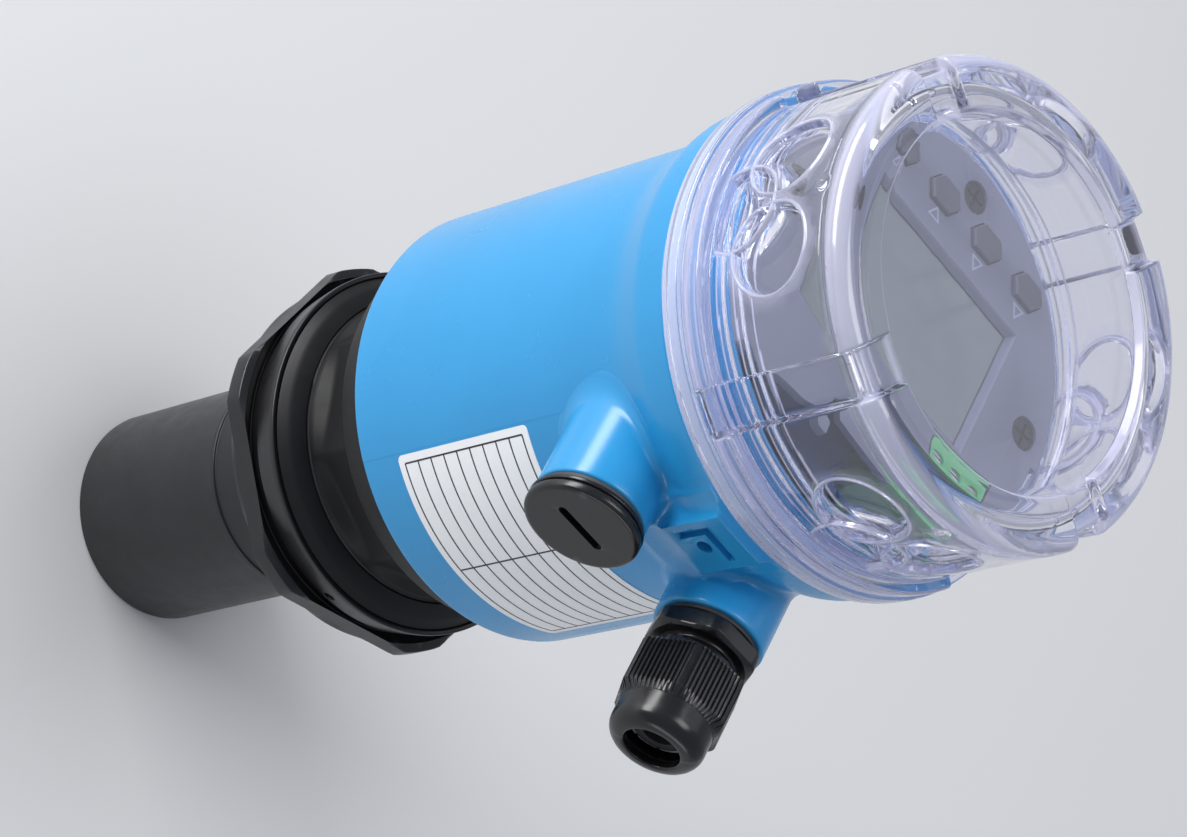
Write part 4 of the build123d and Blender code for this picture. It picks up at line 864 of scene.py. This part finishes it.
def boss(centre_x):
    """A cable boss: a tube with a rounded mouth, whose foot follows the front height with a fillet."""
    columns = 72
    points, faces = [], []
    mouth = rounded([(ENTRY_RADIUS, BOSS_END - 9), (ENTRY_RADIUS, BOSS_END, 0.5),
                     (BOSS_RADIUS, BOSS_END, 0.6), (BOSS_RADIUS, BOSS_END - 2)])
    for step in range(columns):
        angle = 2 * pi * step / columns
        column = [(radius, reach) for radius, reach in mouth]
        for share in levels(0, pi / 2, 7):
            radius = BOSS_RADIUS + FOOT_FILLET * (1 - cos(share))
            wall = front_reach(centre_x + radius * cos(angle), BOSS_Z + radius * sin(angle))
            column.append((radius, min(wall + FOOT_FILLET * (1 - sin(share)), BOSS_END - 2.2)))
        last = BOSS_RADIUS + FOOT_FILLET + 0.2
        wall = front_reach(centre_x + last * cos(angle), BOSS_Z + last * sin(angle))
        column += [(last, wall - 0.3), (last, wall - 2.2), (ENTRY_RADIUS, BOSS_END - 12)]
        points += [(centre_x + radius * cos(angle), -reach, BOSS_Z + radius * sin(angle))
                   for radius, reach in column]
    rows = len(column)
    for step in range(columns):
        following = (step + 1) % columns
        for row in range(rows):
            above = (row + 1) % rows
            faces.append((step * rows + row, following * rows + row,
                          following * rows + above, step * rows + above))
    return points, faces


piece("blue_housing", [shell, web, boss(BOSS_X), boss(-BOSS_X)], [blue_abs], "sensor",
      ("housing",), crease=50)

# %% [markdown]
# Clear cover
#
# The cover is what people look at first. It is one thick clear moulding: two beads round the skirt, four
# pads between four wrench grooves that run on across the front rim, and in each pad three round pockets
# whose rings cross. Inside, a coarse thread shows through the wall. Clear plastic is read by its edges, so
# each edge here is rounded and gets rows of its own. Two outlines, one through a pad and one through a
# groove, are swept together, and the pockets are cut into the pads as patches with points along every ring.

# %% The two outlines of the cover
COVER_LOW, COVER_TOP, WINDOW_TOP, CEILING = 196.2, 235.0, 233.2, 230.0
PAD_RADIUS, GROOVE_RADIUS, BORE_RADIUS, RIM_RADIUS = 43.2, 40.6, 38.6, 33.0
SKIRT_RADIUS, SKIRT_TOP, SEAL_RADIUS = 46.0, 200.0, 42.4
COVER_TURN = -30.0
COVER_THREAD = (199.8, 214.0)
PATCH_LOW, PATCH_HIGH = 205.4, 231.2
CORNER_STEPS = 4

pad_side = rounded([(44.0, COVER_LOW), (SKIRT_RADIUS, COVER_LOW, 0.6), (SKIRT_RADIUS, SKIRT_TOP, 0.8),
                    (45.0, 200.15, 0.2), (45.0, 200.75, 0.2), (45.5, 200.85, 0.15), (45.5, 204.6, 0.9),
                    (PAD_RADIUS, 204.75, 0.5), (PAD_RADIUS, PATCH_LOW)], CORNER_STEPS)
groove_side = rounded([(44.0, COVER_LOW), (SKIRT_RADIUS, COVER_LOW, 0.6), (SKIRT_RADIUS, SKIRT_TOP, 0.8),
                       (44.9, 200.06, 0.02), (44.0, 200.0, 0.02), (43.0, 200.06, 0.02), (42.0, 200.0, 0.02),
                       (GROOVE_RADIUS, 200.06, 0.7), (GROOVE_RADIUS, PATCH_LOW)], CORNER_STEPS)
pad_side += straight(PAD_RADIUS, levels(PATCH_LOW, PATCH_HIGH, 7)[1:])
groove_side += straight(GROOVE_RADIUS, levels(PATCH_LOW, PATCH_HIGH, 7)[1:])
pad_side += rounded([(PAD_RADIUS, 231.3), (PAD_RADIUS, COVER_TOP, 3.2), (38.0, COVER_TOP)], 9)[1:]
groove_side += rounded([(GROOVE_RADIUS, 231.6), (GROOVE_RADIUS, WINDOW_TOP, 0.9),
                        (38.0, WINDOW_TOP)], 9)[1:]
pad_side += rounded([(34.4, COVER_TOP), (RIM_RADIUS + 0.4, COVER_TOP, 0.55), (RIM_RADIUS, WINDOW_TOP, 0.35),
                     (31.5, WINDOW_TOP)], CORNER_STEPS)
groove_side += rounded([(34.4, WINDOW_TOP), (RIM_RADIUS + 0.4, WINDOW_TOP, 0.001),
                        (RIM_RADIUS, WINDOW_TOP - 0.001, 0.001), (31.5, WINDOW_TOP)], CORNER_STEPS)
outside_rows = len(pad_side)
inside = [Vector((radius, WINDOW_TOP)) for radius in (24, 16, 8, 0)]
inside += [Vector((radius, CEILING)) for radius in (0, 8, 16, 24, 31)]
inside += rounded([(33.5, CEILING), (BORE_RADIUS, CEILING, 3.0), (BORE_RADIUS, 222)], 7)
inside += straight(BORE_RADIUS, levels(219, 214.6, 2) + levels(214.3, 200.2, 56))
inside += rounded([(BORE_RADIUS, 199.6), (BORE_RADIUS, 199.2, 0.15), (SEAL_RADIUS, 199.2, 0.3),
                   (SEAL_RADIUS, COVER_LOW, 0.4), (44.0, COVER_LOW)])[:-1]
assert len(pad_side) == len(groove_side)
print("cover rows:", len(pad_side) + len(inside))

# %% [markdown]
# Columns round the cover
#
# A wrench needs grooves with parallel walls. A column in a groove therefore keeps its distance from the
# groove's middle line at every radius, and the columns of the pad share the angle that is left.

# %% Columns that keep the grooves' walls parallel
WALL_STEPS = [(0, 0), (1.8, 0), (3.4, 0), (3.8, 0.02), (4.0, 0.08), (4.12, 0.22), (4.2, 0.45), (4.28, 0.7),
              (4.38, 0.88), (4.55, 0.97), (4.9, 1.0)]
PAD_COLUMNS = 22
PATCH_INSET = 2

columns = []
for quarter in range(4):
    middle = COVER_TURN + 90 * quarter
    columns += [(middle, -across, lift, 0) for across, lift in reversed(WALL_STEPS[1:])]
    columns += [(middle, across, lift, 0) for across, lift in WALL_STEPS]
    columns += [(middle, WALL_STEPS[-1][0], 1, step / PAD_COLUMNS) for step in range(1, PAD_COLUMNS + 1)]
    columns += [(middle + 90, -WALL_STEPS[-1][0], 1, step / PAD_COLUMNS)
                for step in range(PAD_COLUMNS - 1, 0, -1)]
print("columns round the cover:", len(columns))


def column_azimuth(column, radius):
    """Azimuth of a column at a radius: walls stay parallel, and the pad's columns share what is left."""
    middle, across, lift, share = column
    beside = degrees(asin(across / min(max(radius, RIM_RADIUS), SKIRT_RADIUS)))
    return middle + beside + share * (copysign(45, across) - beside)


def cover_point(column, pad, groove):
    """A point of the cover's outside, between its pad outline and its groove outline."""
    azimuth = column_azimuth(column, pad.x)
    depth = groove.x
    if groove.x <= GROOVE_RADIUS and groove.y < WINDOW_TOP - 0.3:
        depth = groove.x / cos(radians(azimuth - column[0])) if column[3] == 0 else groove.x
    radius = depth + (pad.x - depth) * column[2]
    height = groove.y + (pad.y - groove.y) * column[2]
    return around(radius, azimuth, height)


def inside_point(column, point):
    """A point of the cover's inside, with the coarse thread cut into its bore."""
    azimuth = column_azimuth(column, 43)
    radius = point.x
    if abs(radius - BORE_RADIUS) < 0.001 and point.y < 215:
        radius += thread_depth(azimuth, point.y, *COVER_THREAD, *COARSE_THREAD)
    return around(radius, azimuth, point.y)


# %% [markdown]
# Pockets of a pad
#
# Each pad has three round pockets with a narrow rib round each, and the ribs cross. The height of the pad's
# surface is one function of the place, and the highest rib counts, so every crossing comes out clean.

# %% The pockets of one pad
POCKET_RADIUS, POCKET_RIB, POCKET_DEPTH, RIB_RISE = 7.9, 0.9, 1.7, 0.28
pockets = [(-9.2, 218.5), (9.2, 218.5), (0, 209.8)]
MARK_HEIGHT, MARK_RADIUS = 229.2, 1.3      # the ejector's round mark near the rim
rib_line = POCKET_RADIUS + POCKET_RIB / 2
RIB_PROFILE = [(0, RIB_RISE), (0.18, 0.22), (0.34, 0.02), (0.46, -0.35), (0.56, -1.15), (0.72, -1.55),
               (1.0, -POCKET_DEPTH)]


def rib_height(distance):
    """Height of a ring's rib at a distance from its middle line."""
    for near, far in zip(RIB_PROFILE, RIB_PROFILE[1:]):
        if distance <= far[0]:
            return near[1] + (far[1] - near[1]) * (distance - near[0]) / (far[0] - near[0])
    return -POCKET_DEPTH


def pocket_height(across, height):
    """Height of the pad's surface at a place: ribs stand, the inside of each ring is sunk."""
    distances = [hypot(across - x, height - z) - rib_line for x, z in pockets]
    ground = -POCKET_DEPTH if min(distances) < 0 else 0
    relief = max([ground] + [rib_height(abs(distance)) for distance in distances])
    relief += 0.3 * clamp((MARK_RADIUS - hypot(across, height - MARK_HEIGHT)) / 0.3)
    return relief * clamp((height - PATCH_LOW - 0.02) / 0.5)


offsets = sorted({sign * reach for reach, rise in RIB_PROFILE for sign in (-1, 1)})
pocket_rings = [(ring(x, z, rib_line + offset, 64), True)
                for x, z in pockets for offset in offsets if offset < 0.5]
pocket_rings += [(ring(0, MARK_HEIGHT, MARK_RADIUS - inset, 24), True) for inset in (0, 0.3)]
print("rings in a pad:", len(pocket_rings))

# %% [markdown]
# Join the cover
#
# The sweep leaves a gap in each pad. A patch with the pockets fills it, and it has the same points along
# its rim, so both are welded into one closed shell.

# %% Join the cover
def cover_shell():
    """Points and faces of the whole cover."""
    count = len(columns)
    points = [cover_point(column, pad, groove)
              for pad, groove in zip(pad_side, groove_side) for column in columns]
    points += [inside_point(column, point) for point in inside for column in columns]
    rows = len(pad_side) + len(inside)
    heights = [point.y for point in pad_side]
    first_row = max(row for row in range(outside_rows) if abs(heights[row] - PATCH_LOW) < 1e-4)
    last_row = max(row for row in range(outside_rows) if abs(heights[row] - PATCH_HIGH) < 1e-4)
    quarter_columns = count // 4
    left = 2 * len(WALL_STEPS) - 2 + PATCH_INSET
    right = left + 2 * (PAD_COLUMNS - PATCH_INSET)
    faces = []
    for row in range(rows):
        above = (row + 1) % rows
        for column in range(count):
            if first_row <= row < last_row and left <= column % quarter_columns < right:
                continue
            following = (column + 1) % count
            faces.append((row * count + column, row * count + following, above * count + following,
                          above * count + column))
    for quarter in range(4):
        middle = COVER_TURN + 45 + 90 * quarter
        base = quarter * quarter_columns
        rim = [(first_row, c) for c in range(left, right)] + [(r, right) for r in range(first_row, last_row)]
        rim += [(last_row, c) for c in range(right, left, -1)]
        rim += [(r, left) for r in range(last_row, first_row, -1)]
        flat_rim = []
        for row, column in rim:
            azimuth = column_azimuth(columns[(base + column) % count], PAD_RADIUS)
            flat_rim.append((radians(azimuth - middle) * PAD_RADIUS, pad_side[row].y))
        reach = max(x for x, z in flat_rim)
        lines = pocket_rings + [([(x, PATCH_LOW + rise) for x in levels(-9, 9, 18)], False)
                                for rise in (0.2, 0.52)]
        floor_level = PATCH_LOW + 0.05
        lines = [([p for p in line if p[1] > floor_level], joined and min(p[1] for p in line) > floor_level)
                 for line, joined in lines]
        spots = [(x + 0.3 * (step % 2), z) for x in levels(-reach + 1.4, reach - 1.4, 30)
                 for step, z in enumerate(levels(PATCH_LOW + 1.2, PATCH_HIGH - 1.2, 14))
                 if min(abs(hypot(x - a, z - b) - rib_line) for a, b in pockets) > 1.6]
        flat_points, triangles = patch(flat_rim, lines, spots)
        first = len(points)
        for across, height in flat_points:
            on_rim = (abs(abs(across) - reach) < 1e-3 or abs(height - PATCH_LOW) < 1e-3
                      or abs(height - PATCH_HIGH) < 1e-3)
            radius = PAD_RADIUS + (0 if on_rim else pocket_height(across, height))
            azimuth = radians(middle) + across / PAD_RADIUS
            points.append((radius * sin(azimuth), -radius * cos(azimuth), height))
        faces += [tuple(first + index for index in triangle) for triangle in triangles]
    return points, faces


# %% [markdown]
# Painted highlights on the cover
#
# The bright lines along the cover's rim, grooves, beads, rings and thread are painted highlights: a number at
# each point of the mesh tells the material how much opaque white to mix in there. The material can't know
# that by itself.

# %% Mark the painted highlights and make the cover
# The narrow lines along the thread's crest and the shares below are painted highlights.
CREST_EDGE = (38.66, 38.86)      # radii of the narrow lines along both edges of the thread's crest
OUTER_HIGHLIGHT, GROOVE_HIGHLIGHT, STEP_HIGHLIGHT, BEAD_HIGHLIGHT, RING_HIGHLIGHT = 0.62, 0.56, 0.62, 0.25, 0.47


def painted_highlight_share(point):
    """How much painted white highlight the clear plastic gets at a place: on the rim's edges, the rings and
    the thread.
    """
    radius, height = hypot(point[0], point[1]), point[2]
    if radius < 40 and height < 214.2:
        return 1 if CREST_EDGE[0] < radius < CREST_EDGE[1] else 0
    outer_edge = OUTER_HIGHLIGHT * clamp((radius - 39.9) / 1.4) * clamp((height - 230.8) / 1.5)
    groove_end = GROOVE_HIGHLIGHT if 39.0 < radius < 40.8 and 231.8 < height < 233.4 else 0
    at_step = RIM_RADIUS - 0.1 < radius < RIM_RADIUS + 0.8 and height > WINDOW_TOP - 0.1
    inner_step = STEP_HIGHLIGHT if at_step else 0
    beads = BEAD_HIGHLIGHT if radius > 44.8 else 0
    ring_line = 0
    if PATCH_LOW < height < 228 and radius > 41:
        beside = (degrees(atan2(point[0], -point[1])) - COVER_TURN) % 90 - 45
        gap = min(abs(hypot(radians(beside) * PAD_RADIUS - x, height - z) - rib_line) for x, z in pockets)
        ring_line = RING_HIGHLIGHT * clamp((0.62 - gap) / 0.3)
    return max(outer_edge, groove_end, inner_step, beads, ring_line)


piece("clear_cover", [cover_shell()], [polycarbonate], "cover_body", ("cover",), crease=62,
      marks=("painted_highlight", painted_highlight_share))

# %% [markdown]
# Cable gland
#
# A flat washer, a spanner hexagon and a threaded stub carry a long ribbed nut with a smooth glossy dome and
# a round mouth. The ribs are what fingers grip: eleven grooves on each flat, 0.92 mm apart. They are cut
# with columns of their own, because noise or bump would lose their crisp ends.

# %% Build the gland
GLAND_FLAT, GLAND_CORNER = 9.5, 10.5
GLAND_BODY_FIRST, GLAND_NUT_FIRST = 30, 38
HEX_LOW, HEX_HIGH, STUB_END, STUB_RADIUS = 0.9, 4.9, 15.9, 7.6
GLAND_FOOT, GLAND_THREAD, GLAND_BORE, HEX_CHAMFER = -9, 7.92, 5.2, 9.1
WASHER_LOW, WASHER_HIGH, WASHER_BORE, WASHER_RADIUS = 0.02, 0.88, 8.02, 9.45
NUT_START, NUT_HEX_END, NUT_END, NUT_DOME, NUT_INSIDE = 7.4, 18.8, 25.2, 8.8, 7.68
RIB_COUNT, RIB_PITCH, RIB_DEPTH = 11, 0.92, 0.42
GROOVE_EDGES = (-0.29, -0.19, 0.19, 0.29)      # both edges and both foot lines of a groove between ribs
STUB_THREAD = (5.3, 15.8, 1.5, 0.75, 0.12)     # from, to, pitch, depth and crest


def at_gland(point):
    """Lays a piece that was drawn upright on the front of the gland's boss."""
    return Vector((BOSS_X + point.x, -BOSS_END - point.z, BOSS_Z + point.y))


def at_plug(point):
    """The same for the boss of the blanking plug."""
    return Vector((-BOSS_X + point.x, -BOSS_END - point.z, BOSS_Z + point.y))


def gland_body_shape(radius, height, azimuth):
    """Cuts the spanner flats and the stub's thread."""
    if radius > 8:
        return min(radius, polygon_radius(azimuth, 6, GLAND_BODY_FIRST, GLAND_FLAT, 0.5)), height
    if abs(radius - STUB_RADIUS) < 0.001:
        return radius - thread_depth(azimuth, height, *STUB_THREAD), height
    return radius, height


gland_outline = rounded([(6.5, GLAND_FOOT), (GLAND_THREAD, GLAND_FOOT, 0.4), (GLAND_THREAD, HEX_LOW),
                         (HEX_CHAMFER, HEX_LOW), (GLAND_CORNER, 1.5, 0.2), (GLAND_CORNER, 4.2, 0.2),
                         (HEX_CHAMFER, HEX_HIGH, 0.2), (7.9, HEX_HIGH)])
gland_outline += straight(STUB_RADIUS, levels(4.95, 15.7, 70))
gland_outline += rounded([(7.4, STUB_END), (GLAND_BORE, STUB_END, 0.3), (GLAND_BORE, GLAND_FOOT),
                          (6.5, GLAND_FOOT)])
gland_columns = full_circle(96, corner_azimuths(6, GLAND_BODY_FIRST, GLAND_FLAT, 0.5))
gland_shell = swept(gland_outline, gland_columns, gland_body_shape)
piece("gland_hexagon_and_stub", [gland_shell], [gland_nylon], "sensor", ("gland_body",),
      place=at_gland)

washer_outline = rounded([(8.5, WASHER_LOW), (WASHER_RADIUS, WASHER_LOW, 0.2),
                          (WASHER_RADIUS, WASHER_HIGH, 0.2), (WASHER_BORE, WASHER_HIGH),
                          (WASHER_BORE, WASHER_LOW), (8.5, WASHER_LOW)])
piece("gland_flat_washer", [swept(washer_outline, full_circle(96))], [seal_rubber], "sensor",
      ("gland_washer",), place=at_gland)


def gland_nut_shape(radius, height, azimuth):
    """Cuts the flats and the ribs' grooves, up to the dome."""
    if radius < 8.95 or height > NUT_HEX_END:
        return radius, height
    reach = min(radius, polygon_radius(azimuth, 6, GLAND_NUT_FIRST, GLAND_FLAT, 1.0))
    beside = GLAND_FLAT * tan(radians((azimuth - GLAND_NUT_FIRST) % 60 - 30))
    if abs(beside) > RIB_COUNT * RIB_PITCH / 2:
        return reach, height
    groove = abs((beside / RIB_PITCH + 0.5) % 1 - 0.5) * RIB_PITCH
    cut = clamp((GROOVE_EDGES[-1] - groove) / 0.1) * clamp((height - 8.3) / 0.3)
    return max(reach - RIB_DEPTH * cut, 8.9), height


rib_azimuths = [GLAND_NUT_FIRST + 30 + 60 * side
                + degrees(atan2((rib - RIB_COUNT // 2) * RIB_PITCH + edge, GLAND_FLAT))
                for side in range(6) for rib in range(RIB_COUNT) for edge in GROOVE_EDGES]
rib_azimuths += corner_azimuths(6, GLAND_NUT_FIRST, GLAND_FLAT, 1.0)
nut_profile = rounded([(8.2, NUT_START), (9.3, NUT_START, 0.3), (GLAND_CORNER, 8.3, 0.3)])
nut_profile += straight(GLAND_CORNER, (8.31, 8.6, 11, 14, 16.8))
nut_profile += rounded([(GLAND_CORNER, 17.3, 0.4), (8.95, NUT_HEX_END - 0.05), (NUT_DOME, NUT_HEX_END, 0.15),
                        (NUT_DOME, NUT_END, 3.1), (GLAND_BORE, NUT_END, 0.5), (GLAND_BORE, 23.5, 0.6),
                        (6.3, 22.0, 0.6), (NUT_INSIDE, 18.8), (NUT_INSIDE, NUT_START, 0.4),
                        (8.2, NUT_START)], 7)
rib_columns = sorted(set(round(azimuth % 360, 4) for azimuth in rib_azimuths))
piece("ribbed_gland_nut", [swept(nut_profile, rib_columns, gland_nut_shape)], [gland_nylon], "gland_cap",
      ("gland_nut",), crease=42, place=at_gland)

# %% [markdown]
# Blanking plug
#
# The unused cable entry is closed by a screw plug with a coin slot. Its face is a disc, so the slot is
# drawn in the flat with a rounded outline and pushed in. A boolean would leave long thin triangles round
# the slot, and they shade badly.

# %% Build the blanking plug
PLUG_TOP, PLUG_RADIUS, FACE_RADIUS = 4.0, 10.7, 9.6
PLUG_GROOVE, PLUG_SEAT, PLUG_THREAD, PLUG_BORE = 10.2, 1.05, 7.92, 5.9
SLOT_HALF, SLOT_WIDTH, SLOT_DEPTH = 4.6, 1.8, 1.4


def capsule(growth, count=10):
    """The slot's outline with round ends, made wider all round by a growth."""
    wide = SLOT_WIDTH / 2 + growth
    end = [(SLOT_HALF + wide * cos(a), wide * sin(a)) for a in levels(-pi / 2, pi / 2, count)]
    return end + [(-x, -y) for x, y in end]


def slot_depth(x, y):
    """How deep the slot is at a place on the plug's face."""
    edge = SLOT_WIDTH / 2 - hypot(max(abs(x) - SLOT_HALF, 0), y)
    return SLOT_DEPTH * clamp(edge / 0.22)


plug_azimuths = full_circle(96)
plug_outline = rounded([(FACE_RADIUS, PLUG_TOP), (PLUG_RADIUS, PLUG_TOP, 0.9), (PLUG_RADIUS, 2.35, 0.25),
                        (PLUG_GROOVE, 2.2, 0.1), (PLUG_GROOVE, 2.0, 0.1), (PLUG_RADIUS, 1.85, 0.2),
                        (PLUG_RADIUS, PLUG_SEAT, 0.3), (8.2, PLUG_SEAT), (PLUG_THREAD, PLUG_SEAT),
                        (PLUG_THREAD, -8, 0.4), (PLUG_BORE, -8, 0.3), (PLUG_BORE, -1.0, 0.4), (0, -1.0)])
points, faces = swept(plug_outline, plug_azimuths, closed=False)
face_rim = [around(FACE_RADIUS, azimuth, 0)[:2] for azimuth in plug_azimuths]
face_lines = [(capsule(growth), True) for growth in (0, -0.2, 0.15, 0.4)]
face_lines += [(ring(0, 0, 9.3, 96), True), (ring(0, 0, 8.6, 48), True)]
face_spots = [(0, 4), (0, -4), (3, 6), (-3, 6), (3, -6), (-3, -6)]
flat_points, triangles = patch(face_rim, face_lines, face_spots)
first = len(points)
points += [(x, y, PLUG_TOP - slot_depth(x, y)) for x, y in flat_points]
faces += [tuple(first + index for index in triangle) for triangle in triangles]
piece("coin_slot_plug", [(points, faces)], [gland_nylon], "plug_body",
      ("blanking_plug",), place=at_plug)

# %% [markdown]
# Rating label and panel marks
#
# The label is matt polyester film, wrapped round the lowered field. It stays generic: a thin frame, rows
# and one column of empty fields, with no words or numbers. The print is thin solid ink, because a printed
# line has a clean edge that a texture would soften. The keys' marks on the panel are made the same way.

# %% Wrap the label and print its fields
LABEL_FROM, LABEL_TO, LABEL_LOW, LABEL_HIGH = -37.6, 32.2, 120.7, 155.1
FIELD_RADIUS, FILM, INK, LABEL_CORNER = 41.0, 0.26, 0.03, 1.1


def wrapped(start, end, low, high, inner, outer):
    """A thin curved slab between two azimuths, two heights and two radii."""
    steps = max(int(abs(end - start) / 2), 1)
    section = [(inner, low), (outer, low), (outer, high), (inner, high)]
    azimuths = levels(start, end, steps)
    points = [around(radius, azimuth, height) for azimuth in azimuths for radius, height in section]
    faces = [(4 * step + side, 4 * step + (side + 1) % 4, 4 * step + 4 + (side + 1) % 4, 4 * step + 4 + side)
             for step in range(steps) for side in range(4)]
    return points, faces + [(3, 2, 1, 0), tuple(4 * steps + side for side in range(4))]


def on_label(arc, height, radius):
    """Wraps a flat place round the housing."""
    return (radius * sin(arc / FIELD_RADIUS), -radius * cos(arc / FIELD_RADIUS), height)


label_left, label_right = radians(LABEL_FROM) * FIELD_RADIUS, radians(LABEL_TO) * FIELD_RADIUS
label_rim = rounded([(0, LABEL_LOW), (label_right, LABEL_LOW, LABEL_CORNER),
                     (label_right, LABEL_HIGH, LABEL_CORNER), (label_left, LABEL_HIGH, LABEL_CORNER),
                     (label_left, LABEL_LOW, LABEL_CORNER), (0, LABEL_LOW)], 6)[:-1]
label_lines = [([(arc, LABEL_LOW), (arc, LABEL_HIGH)], False)
               for arc in levels(label_left, label_right, 36)[1:-1]]
label = thick_patch(label_rim, label_lines, [], lambda x, z: on_label(x, z, FIELD_RADIUS + FILM),
                    lambda x, z: on_label(x, z, FIELD_RADIUS + 0.01))
piece("wrapped_label", [label], [label_film], "sensor", ("rating_label",))

INSET, LINE, ROWS, COLUMN_AT = 1.6, 0.32, 9, -4.0
inset_angle = degrees(INSET / FIELD_RADIUS)
line_angle = degrees(LINE / FIELD_RADIUS)
print_radius = FIELD_RADIUS + FILM - 0.005
left, right = LABEL_FROM + inset_angle, LABEL_TO - inset_angle
bottom, top = LABEL_LOW + INSET, LABEL_HIGH - INSET
row_height = (top - bottom) / ROWS
prints = [(left, right, bottom + row_height * row - LINE / 2, bottom + row_height * row + LINE / 2)
          for row in range(ROWS + 1)]
uprights = [(left, top), (right, top), (COLUMN_AT, top - row_height)]
prints += [(at - line_angle / 2, at + line_angle / 2, bottom, end) for at, end in uprights]
piece("label_fields",
      [wrapped(start, end, low, high, print_radius, print_radius + INK) for start, end, low, high in prints],
      [label_ink], "sensor")

# %% [markdown]
# Marks beside the keys
#
# Each key has an arrow. It is a triangle of three printed strokes, as thick as a layer of ink. A texture
# would need an unwrapped panel, and strokes this small would blur in it.

# %% Print the marks beside the keys
PANEL_TOP, MARK_Y, MARK_SIZE, MARK_LINE = 209.2, 21.9, 1.9, 0.36
ARROWS = ((-18.9, 90), (-6.3, 90), (6.3, -90), (18.9, -90))     # place along the panel and direction


def slab(corners, low, high):
    """A flat prism over a convex outline."""
    count = len(corners)
    points = [(x, y, z) for z in (low, high) for x, y in corners]
    faces = [tuple(reversed(range(count))), tuple(range(count, 2 * count))]
    return points, faces + [(i, (i + 1) % count, count + (i + 1) % count, count + i) for i in range(count)]


marks = []
for key_x, turn in ARROWS:
    tips = [(MARK_SIZE * cos(radians(turn + 120 * n)), MARK_SIZE * sin(radians(turn + 120 * n)))
            for n in range(3)]
    for tip, following in zip(tips, tips[1:] + tips[:1]):
        inner = [(x * (1 - MARK_LINE / MARK_SIZE * 2), y * (1 - MARK_LINE / MARK_SIZE * 2))
                 for x, y in (following, tip)]
        corners = [(key_x + x, MARK_Y + y) for x, y in [tip, following] + inner]
        marks.append(slab(corners, PANEL_TOP - 0.01, PANEL_TOP + 0.04))
piece("key_marks", marks, [mark_ink], "sensor")
